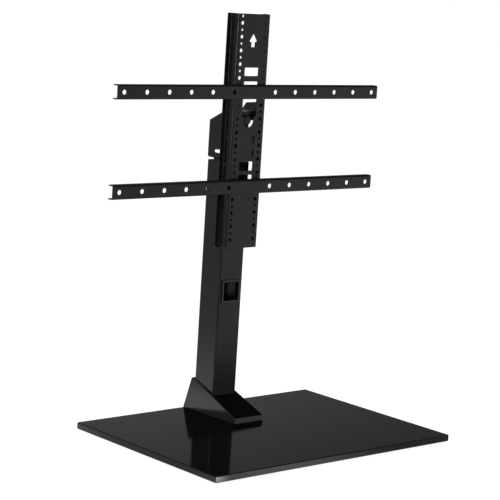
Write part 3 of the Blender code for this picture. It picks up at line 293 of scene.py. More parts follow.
def foldBlank(mesh, stations, toSpace):             # bends a flat blank round the stations' line
    for length, _, _ in stations[1:-1]:
        everything = mesh.verts[:] + mesh.edges[:] + mesh.faces[:]
        bmesh.ops.bisect_plane(mesh, geom=everything, dist=1e-7, plane_co=(length, 0, 0), plane_no=(1, 0, 0))
    for vertex in mesh.verts:
        u, v, w = vertex.co
        index = 0
        while index < len(stations) - 2 and u > stations[index + 1][0]:
            index += 1
        first, last = stations[index], stations[index + 1]
        share = (u - first[0]) / max(last[0] - first[0], 1e-9)
        point, normal = first[1].lerp(last[1], share), first[2].lerp(last[2], min(max(share, 0), 1))
        vertex.co = toSpace(point + normal * w, v)
    bmesh.ops.remove_doubles(mesh, verts=mesh.verts, dist=0.002 * mm)
    bmesh.ops.recalc_face_normals(mesh, faces=mesh.faces)
    return mesh


def roundEdges(mesh, width, segments=3, angle=40):  # rounds edges that are sharper than an angle
    edges = [e for e in mesh.edges if len(e.link_faces) == 2 and e.calc_face_angle() > math.radians(angle)]
    bmesh.ops.bevel(mesh, geom=edges, offset=width, segments=segments, profile=0.5, affect="EDGES",
                    clamp_overlap=True)
    return mesh


def meshToObject(name, mesh):
    data = bpy.data.meshes.new(name)
    mesh.to_mesh(data)
    mesh.free()
    thing = bpy.data.objects.new(name, data)
    scene.collection.objects.link(thing)
    return thing


def carve(mesh, *tools):                            # cuts the tools out of a mesh
    thing = meshToObject("carved", mesh)
    for tool in tools:
        cutter = meshToObject("cutter", tool)
        cutting = thing.modifiers.new("cut", "BOOLEAN")
        cutting.operation, cutting.solver, cutting.object = "DIFFERENCE", "MANIFOLD", cutter
    carved = bmesh.new()
    carved.from_object(thing, bpy.context.evaluated_depsgraph_get())
    cutters = [cutting.object for cutting in thing.modifiers]
    for leftover in [thing, *cutters]:
        bpy.data.objects.remove(leftover)
    return carved


def addPiece(name, mesh, slotName, body, *nodes, sharpAngle=32):
    # Gives a mesh its finish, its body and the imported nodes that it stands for
    bmesh.ops.recalc_face_normals(mesh, faces=mesh.faces)
    for face in mesh.faces:
        face.smooth = True
    for edge in mesh.edges:
        if len(edge.link_faces) == 2:
            edge.smooth = edge.calc_face_angle() < math.radians(sharpAngle)
    thing = meshToObject(name, mesh)
    thing.data.materials.append(finishes[slotName])
    evenNormals = thing.modifiers.new("even normals", "WEIGHTED_NORMAL")
    evenNormals.keep_sharp, evenNormals.weight = True, 90
    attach(thing, body)
    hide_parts(*nodes)
    return thing


# Screws and rings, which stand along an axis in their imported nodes' boxes

fastener = {"tipChamfer": 0.5 * mm, "socketBevel": 0.15 * mm, "ringEdge": 0.25 * mm}


def axisEnds(node, axis):                           # middle of the node's low end, and its length
    low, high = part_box(node)
    start = (low + high) / 2
    index = "XYZ".index(axis)
    start[index] = low[index]
    return start, high[index] - low[index]


def screwProfile(shank, length, head, headHeight, socket):
    # From the tip of the shank to the socket in the head's face
    chamfer, dome = fastener["tipChamfer"], headHeight * 0.3
    return [(shank - chamfer, -length, 0), (shank, chamfer - length, 0), (shank, 0, 0), (head * 0.96, 0, 0),
            (head, headHeight * 0.08, 0), (head, headHeight - dome, 0),
            (head * 0.975, headHeight - dome * 0.4, 0), (head * 0.9, headHeight, 0),
            (socket * 1.22, headHeight, 0), (socket, headHeight - fastener["socketBevel"], 6),
            (socket, headHeight * 0.35, 6)]


def addScrew(name, node, axis, body, shank, head, headHeight, socket):
    start, length = axisEnds(node, axis[1])
    seat = headHeight if axis[0] == "-" else length - headHeight
    place = start + Vector(spacePoint(axis[1], 0, 0, seat))
    profile = screwProfile(shank, length - headHeight, head, headHeight, socket)
    addPiece(name, spinProfile(place, axis, profile), "black_oxide", body, node)


def addRing(name, node, axis, body, slotName, outer, inner, count=48):
    start, length = axisEnds(node, axis)
    edge = min(fastener["ringEdge"], length * 0.3)
    profile = [(inner, 0, 0), (outer - edge, 0, 0), (outer, edge, 0), (outer, length - edge, 0),
               (outer - edge, length, 0), (inner, length, 0), (inner, 0, 0)]
    addPiece(name, spinProfile(start, "+" + axis, profile, count), slotName, body, node)


# The board, its pads and the bolts that come up through it

board = {"cornerRadius": 3.5 * mm, "edgeRadius": 1.5 * mm, "edgeSteps": 6, "padRadius": 12 * mm,
         "padEdge": 0.6 * mm, "boltRadius": 4 * mm, "boltHead": 7 * mm, "boltHeadHeight": 3.5 * mm,
         "boltSocket": 2.5 * mm, "boltHole": 4.5 * mm, "washerRadius": 9 * mm, "counterboreRadius": 10 * mm,
         "fitGap": 0.3 * mm, "overrun": 1 * mm}
footCorners = [(end, side) for end in ("front", "rear") for side in ("left", "right")]


def slabRings(low, high, cornerRadius, edgeRadius, steps):
    # A flat slab whose top and bottom edges are quarter rounds
    centre, size = (low + high) / 2, high - low
    rings = []
    for level, direction in ((low.z + edgeRadius, -1), (high.z - edgeRadius, 1)):
        for k in range(steps + 1):
            angle = math.pi / 2 * (1 - k / steps if direction < 0 else k / steps)
            inset = edgeRadius * (1 - math.cos(angle))
            outline = rectangleOutline(centre.x, centre.y, size.x - 2 * inset, size.y - 2 * inset,
                                       cornerRadius - inset, steps=8)
            rings.append([(x, y, level + direction * edgeRadius * math.sin(angle)) for x, y in outline])
    return rings


def makeBoard():
    low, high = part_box("base_board")
    slab = loftRings(slabRings(low, high, board["cornerRadius"], board["edgeRadius"], board["edgeSteps"]))
    bores = []
    for end, side in footCorners:
        washerLow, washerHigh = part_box(f"foot_washer_{end}_{side}")
        middle = (washerLow + washerHigh) / 2
        for radius, top in ((board["boltHole"], high.z + board["overrun"]),
                            (board["counterboreRadius"], washerHigh.z + board["fitGap"])):
            bores.append(extrudeOutline("Z", circleOutline(middle.x, middle.y, radius),
                                        low.z - board["overrun"], top))
    addPiece("boardSlab", carve(slab, *bores), "black_lacquer", "stand", "base_board")


def makePads():
    radius, edge = board["padRadius"], board["padEdge"]
    for end, side in footCorners:
        node = f"base_pad_{end}_{side}"
        start, height = axisEnds(node, "Z")
        profile = [(radius * 0.5, 0, 0), (radius - edge, 0, 0), (radius - edge * 0.3, edge * 0.3, 0),
                   (radius, edge, 0), (radius, height, 0)]
        addPiece(f"rubberPad.{end}.{side}", spinProfile(start, "+Z", profile), "black_rubber", "stand", node)


def makeFootBolts():
    for end, side in footCorners:
        addScrew(f"footBolt.{end}.{side}", f"foot_bolt_{end}_{side}", "-Z", "stand", board["boltRadius"],
                 board["boltHead"], board["boltHeadHeight"], board["boltSocket"])
        addRing(f"footWasher.{end}.{side}", f"foot_washer_{end}_{side}", "Z", "stand", "bright_zinc",
                board["washerRadius"], board["boltHole"])


makeBoard()
makePads()
makeFootBolts()
print("board, pads and foot bolts made")


# The foot cover: a hollow wedge round the column's foot, with a tray sunk in its slope

cover = {"baseWidth": 71.4 * mm, "topWidth": 60 * mm, "lipHeight": 11.3 * mm, "crestOverlap": 0.7 * mm,
         "crestShelf": 7.2 * mm, "wall": 2 * mm, "roof": 3.5 * mm, "rim": 2.5 * mm, "recess": 1.5 * mm,
         "recessCorner": 3 * mm, "edgeRadius": 1.1 * mm, "lipLean": 1.7 * mm, "shaftGap": 0.3 * mm,
         "shaftCorner": 3 * mm, "overrun": 2 * mm}


def makeFootCover():
    low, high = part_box("foot_cover")
    columnLow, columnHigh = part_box("column")
    height, lipTop = high.z - low.z, low.z + cover["lipHeight"]
    crestFront, crestBack = columnHigh.y - cover["crestOverlap"], columnHigh.y + cover["crestShelf"]
    lipDepth = low.y + cover["lipLean"]             # the lip leans back a little, so that it leaves the tool
    slope = math.atan2(high.z - lipTop, crestFront - lipDepth)

    def halfWidth(level):
        share = (level - low.z) / height
        return (cover["baseWidth"] * (1 - share) + cover["topWidth"] * share) / 2

    def underside(depth):
        return lipTop + (depth - lipDepth) * math.tan(slope) - cover["roof"] / math.cos(slope)

    def wedge(view, inset):
        return loftRings([[(side * (halfWidth(level) - inset), depth, level) for depth, level in view]
                          for side in (-1, 1)])

    outer = wedge([(low.y, low.z), (lipDepth, lipTop), (crestFront, high.z), (crestBack, high.z),
                   (high.y, low.z)], 0)
    roundEdges(outer, cover["edgeRadius"], 4, 20)
    ceiling, innerFront, floorLevel = high.z - cover["roof"], low.y + cover["wall"], low.z - cover["overrun"]
    crestInner = crestFront + (ceiling - underside(crestFront)) / math.tan(slope)
    lean = (high.y - crestBack) / height
    cavity = wedge([(innerFront, floorLevel), (innerFront, underside(innerFront)), (crestInner, ceiling),
                    (crestBack - cover["wall"] + lean * cover["roof"], ceiling),
                    (high.y - cover["wall"] + lean * cover["overrun"], floorLevel)], cover["wall"])
    middle = (columnLow + columnHigh) / 2
    width = columnHigh.x - columnLow.x + 2 * cover["shaftGap"]
    shaft = extrudeOutline("Z", rectangleOutline(middle.x, middle.y, width, width, cover["shaftCorner"]),
                           floorLevel, high.z + cover["overrun"])
    slopeLength = (high.z - lipTop) / math.sin(slope)
    corners = []
    for distance, side in ((cover["rim"], -1), (cover["rim"], 1), (slopeLength - cover["rim"], 1),
                           (slopeLength - cover["rim"], -1)):
        level = lipTop + distance * math.sin(slope)
        corners.append((side * (halfWidth(level) - cover["rim"]), distance))
    tray = extrudeOutline("Z", roundedOutline(corners, cover["recessCorner"]), -cover["recess"],
                          cover["overrun"])
    tilt = Matrix.Translation((0, lipDepth, lipTop)) @ Matrix.Rotation(slope, 4, "X")
    bmesh.ops.transform(tray, matrix=tilt, verts=tray.verts)
    addPiece("footCover", carve(outer, cavity, shaft, tray), "black_moulding", "stand", "foot_cover")


makeFootCover()
print("foot cover made")


# The column, its top plate, and the bezels of its cable openings

column = {"wall": 2 * mm, "cornerRadius": 3 * mm, "endChamfer": 0.3 * mm, "opening": 34.8 * mm,
          "bezelWall": 1.5 * mm, "bezelFrame": 44 * mm, "bezelCorner": 3 * mm, "bezelFlange": 1.8 * mm,
          "bezelRound": 0.7 * mm, "fitGap": 0.3 * mm, "holeCorner": 3 * mm, "leastCorner": 1 * mm,
          "overrun": 2 * mm}


def makeColumn():
    low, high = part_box("column")
    middle, width = (low + high) / 2, high.x - low.x
    openingHeight = sum(corner.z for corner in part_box("cable_bezel_front")) / 2
    rings = []
    for inset, level in ((column["endChamfer"], low.z), (0, low.z + column["endChamfer"]),
                         (0, high.z - column["endChamfer"]), (column["endChamfer"], high.z),
                         (column["wall"], high.z), (column["wall"], low.z)):
        outline = rectangleOutline(middle.x, middle.y, width - 2 * inset, width - 2 * inset,
                                   max(column["cornerRadius"] - inset, column["leastCorner"]), steps=8)
        rings.append([(x, y, level) for x, y in outline])
    hole = column["opening"] + 2 * (column["bezelWall"] + column["fitGap"])
    window = extrudeOutline("Y", rectangleOutline(middle.x, openingHeight, hole, hole, column["holeCorner"]),
                            low.y - column["overrun"], high.y + column["overrun"])
    addPiece("columnTube", carve(loftRings(rings, hollow=True), window), "black_enamel", "stand", "column")


def makeBezels():
    for node, outward in (("cable_bezel_front", -1), ("cable_bezel_rear", 1)):
        low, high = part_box(node)
        middle = (low + high) / 2
        face = low.y if outward < 0 else high.y
        end = high.y if outward < 0 else low.y
        frameWidth, roundSize = column["bezelFrame"], column["bezelRound"]
        sleeveWidth = column["opening"] + 2 * column["bezelWall"]
        sections = [(sleeveWidth, end), (sleeveWidth, face - outward * column["bezelFlange"]),
                    (frameWidth, face - outward * column["bezelFlange"])]
        for k in range(5):
            angle = math.pi / 2 * k / 4
            sections.append((frameWidth - 2 * roundSize * (1 - math.cos(angle)),
                             face - outward * roundSize * (1 - math.sin(angle))))
        for k in range(4):
            angle = math.pi / 2 * k / 3
            sections.append((column["opening"] + 2 * roundSize * (1 - math.sin(angle)),
                             face - outward * roundSize * (1 - math.cos(angle))))
        sections.append((column["opening"], end))
        rings = []
        for width, depth in sections:
            corner = max(column["bezelCorner"] - (frameWidth - width) / 2, column["leastCorner"])
            outline = rectangleOutline(middle.x, middle.z, width, width, corner, 8)
            rings.append([(x, depth, z) for x, z in outline])
        addPiece("cableBezel." + ("front" if outward < 0 else "rear"), loftRings(rings, hollow=True),
                 "black_moulding", "stand", node)


makeColumn()
makeBezels()
print("column and cable bezels made")


# The turning head: one sheet bent into a floor and two cheeks, with what it holds

head = {"sheet": 3 * mm, "bend": 1.2 * mm, "rim": 0.35 * mm, "earHeight": 31 * mm, "earReach": 13.5 * mm,
        "leftBackDrop": 35 * mm, "rightBackDrop": 45 * mm, "rightFrontRise": 4.5 * mm,
        "rightShoulderRise": 1 * mm, "rightShoulderSetback": 16.5 * mm, "cornerRadius": 2.5 * mm,
        "footCorner": 1 * mm, "keyholeHeight": 13.4 * mm, "keyholeRadius": 5 * mm, "keyholeSlot": 3 * mm,
        "keyholeLength": 13 * mm, "keyholeSetback": 23 * mm, "crossSetback": 9 * mm, "tabWidth": 10 * mm,
        "tabThickness": 2.5 * mm, "tabRise": 16 * mm, "tabCorner": 2 * mm, "barDrop": 3.5 * mm,
        "barHeight": 4.2 * mm, "fitGap": 0.3 * mm, "discRadius": 28 * mm, "sleeveRadius": 5 * mm,
        "clipRadius": 4.5 * mm, "washerRadius": 12.5 * mm, "springWasherRadius": 11.5 * mm,
        "rodRadius": 3 * mm, "rodChamfer": 0.6 * mm, "boltRadius": 6 * mm, "boltChamfer": 0.8 * mm,
        "boltHeadHeight": 7 * mm, "nutFlats": 9 * mm, "nutChamfer": 0.6 * mm, "pinRadius": 2.5 * mm,
        "pinChamfer": 0.4 * mm, "bumperRadius": 8.5 * mm, "bumperFace": 4 * mm, "bumperStem": 4 * mm,
        "bumperRound": 1.2 * mm, "bumperBore": 13 * mm, "screwRadius": 2.5 * mm, "screwHead": 4.5 * mm,
        "screwHeadHeight": 3 * mm, "screwSocket": 1.5 * mm}


def keyholeOutline(depth, level, flip):
    reach = math.sqrt(head["keyholeRadius"] ** 2 - head["keyholeSlot"] ** 2)
    gap = math.atan2(head["keyholeSlot"], reach)
    points = []
    for k in range(33):
        angle = gap + (2 * math.pi - 2 * gap) * k / 32
        points.append((level + head["keyholeRadius"] * math.sin(angle),
                       depth + head["keyholeRadius"] * math.cos(angle)))
    for k in range(13):
        angle = -math.pi / 2 + math.pi * k / 12
        points.append((level + head["keyholeSlot"] * math.sin(angle),
                       depth + head["keyholeLength"] + head["keyholeSlot"] * math.cos(angle)))
    return [(flip * u, v) for u, v in points]


def makeHeadBracket():
    low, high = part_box("swivel_head")
    columnLow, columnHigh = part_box("column")
    rodLow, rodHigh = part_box("tie_rod")
    front, back, axisDepth = columnLow.y, columnHigh.y, (columnLow.y + columnHigh.y) / 2
    side, floorLevel = high.x - head["sheet"] / 2, low.z + head["sheet"] / 2
    cheekTop, radius = high.z - head["tabRise"], head["bend"] + head["sheet"] / 2
    flatHalf = side - radius

    def across(level):                              # from the middle of the floor up to a cheek's level
        return flatHalf + radius * math.pi / 2 + level - floorLevel - radius

    crossFront, earFront = front + head["crossSetback"], front - head["earReach"]
    earLow = across(cheekTop - head["earHeight"])
    shared = [(flatHalf, front), (flatHalf, crossFront), (earLow, crossFront), (earLow, earFront)]
    right = shared + [(across(cheekTop + head["rightFrontRise"]), earFront),
                      (across(cheekTop + head["rightShoulderRise"]), front + head["rightShoulderSetback"]),
                      (across(cheekTop - head["rightBackDrop"]), back)]
    left = shared + [(across(cheekTop), earFront), (across(cheekTop - head["leftBackDrop"]), back)]
    corners = right + [(-u, v) for u, v in left[::-1]]
    foot = [head["footCorner"]] * 2
    radii = foot + [head["cornerRadius"]] * (len(corners) - 4) + foot
    pinDepth = sum(corner.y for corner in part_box("stop_pin")) / 2
    rodDepth, rodLevel = (rodLow.y + rodHigh.y) / 2, across((rodLow.z + rodHigh.z) / 2)
    keyDepth, keyLevel = front + head["keyholeSetback"], across(low.z + head["keyholeHeight"])
    outlines = [roundedOutline(corners, radii, 5),
                circleOutline(0, axisDepth, head["boltRadius"] + head["fitGap"]),
                circleOutline(0, pinDepth, head["pinRadius"] + head["fitGap"])]
    for flip in (-1, 1):
        outlines.append(circleOutline(flip * rodLevel, rodDepth, head["rodRadius"] + head["fitGap"]))
        outlines.append(keyholeOutline(keyDepth, keyLevel, flip))
    path = [(-side, high.z), (-side, floorLevel), (side, floorLevel), (side, high.z)]
    stations = foldStations(path, radius)
    mesh = foldBlank(cutBlank(outlines, head["sheet"], head["rim"]), stations,
                     lambda point, v: (point.x, v, point.y))
    addPiece("headBracket", mesh, "black_enamel", "head", "swivel_head")

    # The left ear's inturned edge, a narrow tab behind the channel's holes
    tabLeft, tabFoot = low.x + head["sheet"] / 2, cheekTop - head["earHeight"] + head["tabCorner"]
    outline = roundedOutline([(tabLeft, tabFoot), (tabLeft + head["tabWidth"], tabFoot),
                              (tabLeft + head["tabWidth"], high.z), (tabLeft, high.z)], head["tabCorner"], 5)
    tabFront = earFront + head["fitGap"]
    tab = extrudeOutline("Y", outline, tabFront, tabFront + head["tabThickness"])
    addPiece("earTab", roundEdges(tab, head["rim"]), "black_enamel", "head", "swivel_head")
    # A narrow bar below the rod, from ear to ear
    outline = rectangleOutline(0, (rodLow.z + rodHigh.z) / 2 - head["barDrop"] - head["barHeight"] / 2,
                               2 * high.x - head["sheet"], head["barHeight"], head["rim"], 2)
    bar = extrudeOutline("Y", outline, earFront + 2 * head["fitGap"], earFront + head["tabThickness"])
    addPiece("earBar", bar, "black_enamel", "head", "swivel_head")


def makeHeadHardware():
    for node, name in (("block_screw_left", "blockScrew.left"), ("block_screw_right", "blockScrew.right"),
                       ("bumper_screw", "bumperScrew")):
        addScrew(name, node, "+Y", "head", head["screwRadius"], head["screwHead"], head["screwHeadHeight"],
                 head["screwSocket"])

    boltBore, rodBore = head["boltRadius"] + head["fitGap"], head["rodRadius"] + head["fitGap"]
    addRing("swivelDisc", "swivel_disc", "Z", "head", "black_nylon", head["discRadius"], boltBore, 64)
    for node, name, ends, axis, slotName, outer, bore in (
            ("swivel_washer_", "swivelWasher.", ("upper", "lower"), "Z", "bright_zinc",
             head["washerRadius"], boltBore),
            ("spring_washer_", "springWasher.", ("1", "2"), "Z", "black_oxide",
             head["springWasherRadius"], boltBore),
            ("rod_sleeve_", "rodSleeve.", ("left", "right"), "X", "black_nylon",
             head["sleeveRadius"], rodBore),
            ("rod_clip_", "rodClip.", ("left", "right"), "X", "black_oxide", head["clipRadius"], rodBore)):
        for end in ends:
            addRing(name + end, node + end, axis, "head", slotName, outer, bore, 64)

    start, length = axisEnds("tie_rod", "X")
    radius, chamfer = head["rodRadius"], head["rodChamfer"]
    profile = [(radius - chamfer, 0, 0), (radius, chamfer, 0), (radius, length - chamfer, 0),
               (radius - chamfer, length, 0)]
    addPiece("tieRod", spinProfile(start, "+X", profile), "bright_zinc", "head", "tie_rod")

    start, length = axisEnds("round_bumper", "Y")
    radius, stem, face = head["bumperRadius"], head["bumperStem"], head["bumperFace"]
    bore, depth = head["screwRadius"] + head["fitGap"], length - head["bumperBore"]
    rounded = head["bumperRound"]
    profile = [(radius * 0.3, 0.25 * mm, 0), (radius * 0.36, 0, 0), (radius - rounded, 0, 0),
               (radius - rounded / 3, 0.35 * mm, 0), (radius, rounded, 0), (radius, face, 0),
               (stem + rounded * 2 / 3, face, 0), (stem, face + rounded * 2 / 3, 0), (stem, length, 0),
               (bore, length, 0), (bore, depth, 0)]
    addPiece("roundBumper", spinProfile(start, "+Y", profile, 64), "black_nylon", "head", "round_bumper")

    start, length = axisEnds("lock_nut", "Z")
    flats, chamfer = head["nutFlats"], head["nutChamfer"]
    profile = [(boltBore, 0, 0), (flats * 0.97, 0, 0), (flats, chamfer, 6), (flats, length - chamfer, 6),
               (flats * 0.97, length, 0), (boltBore, length, 0), (boltBore, 0, 0)]
    addPiece("lockNut", spinProfile(start, "+Z", profile), "bright_zinc", "head", "lock_nut")

    start, length = axisEnds("swivel_bolt", "Z")
    shank, chamfer, seat = head["boltRadius"], head["boltChamfer"], length - head["boltHeadHeight"]
    profile = [(shank - chamfer, 0, 0), (shank, chamfer, 0), (shank, seat, 0), (flats * 0.97, seat, 0),
               (flats, seat + 0.3 * mm, 6), (flats, length - chamfer, 6), (flats * 0.95, length, 0)]
    addPiece("swivelBolt", spinProfile(start, "+Z", profile), "bright_zinc", "head", "swivel_bolt")

    start, length = axisEnds("stop_pin", "Z")
    radius, chamfer = head["pinRadius"], head["pinChamfer"]
    profile = [(radius - chamfer, 0, 0), (radius, chamfer, 0), (radius, length, 0)]
    addPiece("stopPin", spinProfile(start, "+Z", profile), "bright_zinc", "head", "stop_pin")


makeHeadBracket()
makeHeadHardware()
print("turning head made")


# The television channel: a hat section, pierced flat and then bent

channel = {"width": 77.4 * mm, "sheet": 2 * mm, "bend": 1.2 * mm, "rim": 0.3 * mm, "lipEndRadius": 6 * mm,
           "endMargin": 17.1 * mm, "endCorner": 1 * mm, "rows": 17, "upperRailRow": 5, "pitch": 25 * mm,
           "rowHalf": 27.9 * mm, "largeRadius": 3.5 * mm, "smallRadius": 2.4 * mm, "sideRadius": 3.5 * mm,
           "sideDepth": 15.2 * mm, "sideCount": 5, "windowWidth": 33.2 * mm, "windowCorner": 2 * mm,
           "lobeRadius": 12 * mm, "lobeNeck": 0.61, "slotWidth": 3.6 * mm, "slotHeight": 14 * mm,
           "slotOffset": 14 * mm, "arrowHalf": 8.6 * mm, "arrowStem": 4.5 * mm, "arrowCorner": 0.6 * mm,
           # rows of holes below the first row, and heights in rows
           "windows": ((3.55, 0.61), (10.53, 0.67), (11.77, 1.18)), "tallTop": 4.26, "lobeRow": 7.168,
           "slotRows": (8.556, 9.556), "arrowRows": (0.74, 1.26, 1.36, 1.74)}


def arrowOutline(levelOf):
    tip, wing, shoulder, foot = (levelOf(row) for row in channel["arrowRows"])
    half, stem = channel["arrowHalf"], channel["arrowStem"]
    corners = [(0, tip), (half, wing), (half, shoulder), (stem, shoulder), (stem, foot), (-stem, foot),
               (-stem, shoulder), (-half, shoulder), (-half, wing)]
    return roundedOutline(corners, channel["arrowCorner"], 4)


def tallWindowOutline(levelOf):
    # The long window and the round lobe at its foot as one opening
    top, lobe = levelOf(channel["tallTop"]), levelOf(channel["lobeRow"])
    half, radius = channel["windowWidth"] / 2, channel["lobeRadius"]
    foot, start = lobe + radius * channel["lobeNeck"], math.asin(channel["lobeNeck"])
    corners = roundedOutline([(half, foot), (half, top), (-half, top), (-half, foot)],
                             channel["windowCorner"])
    arc = [(radius * math.cos(angle), lobe + radius * math.sin(angle))
           for angle in (math.pi - start + (math.pi + 2 * start) * k / 40 for k in range(41))]
    return corners + arc


def makeChannel():
    low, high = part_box("tv_channel")
    sheet, rowTop = channel["sheet"], high.z - channel["endMargin"]
    radius = channel["bend"] + sheet / 2
    flange, web, lip = channel["width"] / 2 - sheet / 2, low.y + sheet / 2, high.y - sheet / 2
    path = [(low.x, lip), (-flange, lip), (-flange, web), (flange, web), (flange, lip), (high.x, lip)]
    stations = foldStations(path, radius)
    reach = stations[-1][0]

    def levelOf(row):
        return rowTop - row * channel["pitch"]

    corners = [(-reach, low.z), (reach, low.z), (reach, high.z), (-reach, high.z)]
    radii = [channel["lipEndRadius"]] * 2 + [channel["endCorner"]] * 2
    outlines = [roundedOutline(corners, radii, 8), arrowOutline(levelOf), tallWindowOutline(levelOf)]
    for row, rows in channel["windows"]:
        outlines.append(rectangleOutline(0, levelOf(row), channel["windowWidth"], rows * channel["pitch"],
                                         channel["windowCorner"]))
    for row in channel["slotRows"]:
        outlines.append(rectangleOutline(channel["slotOffset"], levelOf(row), channel["slotWidth"],
                                         channel["slotHeight"], channel["slotWidth"] * 0.45))
    sideReach = flange - radius + radius * math.pi / 2 + channel["sideDepth"] - sheet / 2 - radius
    rodLevel = sum(corner.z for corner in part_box("tie_rod")) / 2
    for flip in (-1, 1):
        for row in range(channel["rows"]):
            outlines.append(circleOutline(flip * channel["rowHalf"], levelOf(row), channel["largeRadius"]))
            if row != channel["upperRailRow"]:
                outlines.append(circleOutline(flip * channel["rowHalf"], levelOf(row - 0.5),
                                              channel["smallRadius"], 28))
        for index in range(channel["sideCount"]):
            outlines.append(circleOutline(flip * sideReach, rodLevel - index * channel["pitch"],
                                          channel["sideRadius"]))
    mesh = foldBlank(cutBlank(outlines, sheet, channel["rim"]), stations,
                     lambda point, v: (point.x, point.y, v))
    addPiece("televisionChannel", mesh, "black_enamel", "carriage", "tv_channel")


makeChannel()
print("television channel made")


# The two rails, their bosses, washers and screws, and the set screws in the channel's sides

rail = {"sheet": 2 * mm, "bend": 1.2 * mm, "rim": 0.3 * mm, "height": 26 * mm, "holeRadius": 4.4 * mm,
        "holePitch": 50 * mm, "holesEachSide": 6, "screwRadius": 3 * mm, "screwHead": 5 * mm,
        "screwHeadHeight": 3.5 * mm, "screwSocket": 2 * mm, "washerRadius": 6.5 * mm, "bossRadius": 6 * mm,
        "clinchRadius": 5.5 * mm, "setSocket": 1.5 * mm, "setChamfer": 0.6 * mm, "setRim": 0.4 * mm,
        "endCorner": 0.8 * mm, "fitGap": 0.3 * mm}


def makeRails():
    for which in ("upper", "lower"):
        low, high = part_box(which + "_rail")
        sheet, level = rail["sheet"], (low.z + high.z) / 2
        radius, edge, web = rail["bend"] + sheet / 2, rail["height"] / 2 - sheet / 2, low.y + sheet / 2
        path = [(high.y, level - edge), (web, level - edge), (web, level + edge), (high.y, level + edge)]
        stations = foldStations(path, radius)
        reach = stations[-1][0]
        outlines = [rectangleOutline(0, 0, 2 * reach, high.x - low.x, rail["endCorner"])]
        for index in range(1, rail["holesEachSide"] + 1):
            for flip in (-1, 1):
                outlines.append(circleOutline(0, flip * index * rail["holePitch"], rail["holeRadius"]))
        mesh = foldBlank(cutBlank(outlines, sheet, rail["rim"]), stations,
                         lambda point, v: (v, point.x, point.y))
        addPiece(which + "Rail", mesh, "black_enamel", "carriage", which + "_rail")


def makeRailHardware():
    for which in ("upper", "lower"):
        for side in ("left", "right"):
            addScrew(f"railScrew.{which}.{side}", f"rail_screw_{which}_{side}", "+Y", "carriage",
                     rail["screwRadius"], rail["screwHead"], rail["screwHeadHeight"], rail["screwSocket"])
            for node, name, outer in (("rail_washer", "railWasher", "washerRadius"),
                                      ("rail_boss", "railBoss", "bossRadius")):
                addRing(f"{name}.{which}.{side}", f"{node}_{which}_{side}", "Y", "carriage", "bright_zinc",
                        rail[outer], rail["screwRadius"] + rail["fitGap"])


def makeSetScrews():
    radius, socket, chamfer, rim = (rail[key] for key in ("screwRadius", "setSocket", "setChamfer", "setRim"))
    for side, axis in (("left", "-X"), ("right", "+X")):
        start, length = axisEnds("set_screw_" + side, "X")
        tip = start + Vector((length, 0, 0)) if axis == "-X" else start
        profile = [(radius - chamfer, 0, 0), (radius, chamfer, 0), (radius, length - rim, 0),
                   (radius - rim, length, 0), (socket * 1.22, length, 0),
                   (socket, length - fastener["socketBevel"], 6), (socket, length / 2, 6)]
        addPiece("setScrew." + side, spinProfile(tip, axis, profile), "black_oxide", "carriage",
                 "set_screw_" + side)
        addRing("clinchNut." + side, "clinch_nut_" + side, "X", "carriage", "bright_zinc",
                rail["clinchRadius"], radius + rail["fitGap"])


makeRails()
makeRailHardware()
makeSetScrews()
print("rails and their fasteners made")


# What stays as packed gets its finish: foot plate, gussets, top plate, cross plate and support block

keptNodes = {"foot_plate": "black_enamel", "gusset_left": "black_enamel",
             "gusset_right": "black_enamel", "column_top_plate": "black_enamel",
             "cross_plate": "black_enamel", "support_block": "black_nylon"}
for node, slotName in keptNodes.items():
    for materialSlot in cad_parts[node].material_slots:
        materialSlot.material = finishes[slotName]


# Floor, a gloss-only shell of painted glow, light and camera

studio = {"floorRadius": 60.0, "floorColour": "f4f4f4", "floorGlow": 0.93, "floorShade": 0.30,
          "ambient": 0.38,
          # a shell of painted glow round the set, seen only in the gloss: where it starts, where it stands
          # up, its height, the glow at the foot of the wall, how fast it falls with height, and what is left
          "shellInner": 0.02, "shellRadius": 6.0, "shellFoot": 2 * mm, "shellHeight": 10.4, "shellGlow": 0.435,
          "shellFall": 1.06, "shellRest": 0.008,
          # ramps of painted glow, each by start, value there, end, value there: across the wall, on the floor
          # to the right, dim next to the board as a painted shade, and to the left by distance, and the pale
          # patch at the front right by height
          "ramps": {"wallTilt": (-1.06, 0.72, 1.41, 1.7), "wallLeft": (1.8, 1.0, 4.6, 0.80),
                    "rightNear": (0.25, 0.30, 0.90, 0.76), "rightFar": (1.7, 0.44, 6.0, 0.68),
                    "rightJoin": (1.2, 0.0, 2.4, 1.0), "left": (0.50, 1.05, 0.90, 0.34),
                    "floorJoin": (-0.35, 0.0, 0.35, 1.0), "patchGlow": (0.0, 0.56, 0.6, 1.10),
                    "patchFade": (0.68, 1.0, 1.15, 0.02), "patchJoin": (-4.0, 1.0, -1.5, 0.0),
                    "behindCamera": (0.15, 1.0, 0.50, 0.06), "beyondPaper": (0.45, 0.0, 0.80, 1.0)},
          # round spots of painted glow on the floor beside the board, each by place, full radius, glow, outer
          # radius: a small painted highlight at the corner, a pale one along the front, and a painted shade
          # along the left that glows below zero
          "paintedGlowSpots": ((-0.285, -0.25, 0.02, 7.0, 0.06), (-0.12, -0.30, 0.03, 0.9, 0.30),
                    (-0.34, 0.0, 0.10, -0.5, 0.30)),
          # softboxes: place, where it points, width, height, watts, and whether gloss shows it
          "softboxes": ((-2.2, -1.9, 2.4, 0.0, 0.0, 0.35, 1.4, 1.4, 38, False),
                        (0.3, 0.2, 3.2, 0.0, 0.1, 0.3, 2.0, 2.0, 25, False),
                        (-2.0, -0.75, 0.70, 0.0, 0.1, 0.55, 0.42, 0.42, 13, True))}


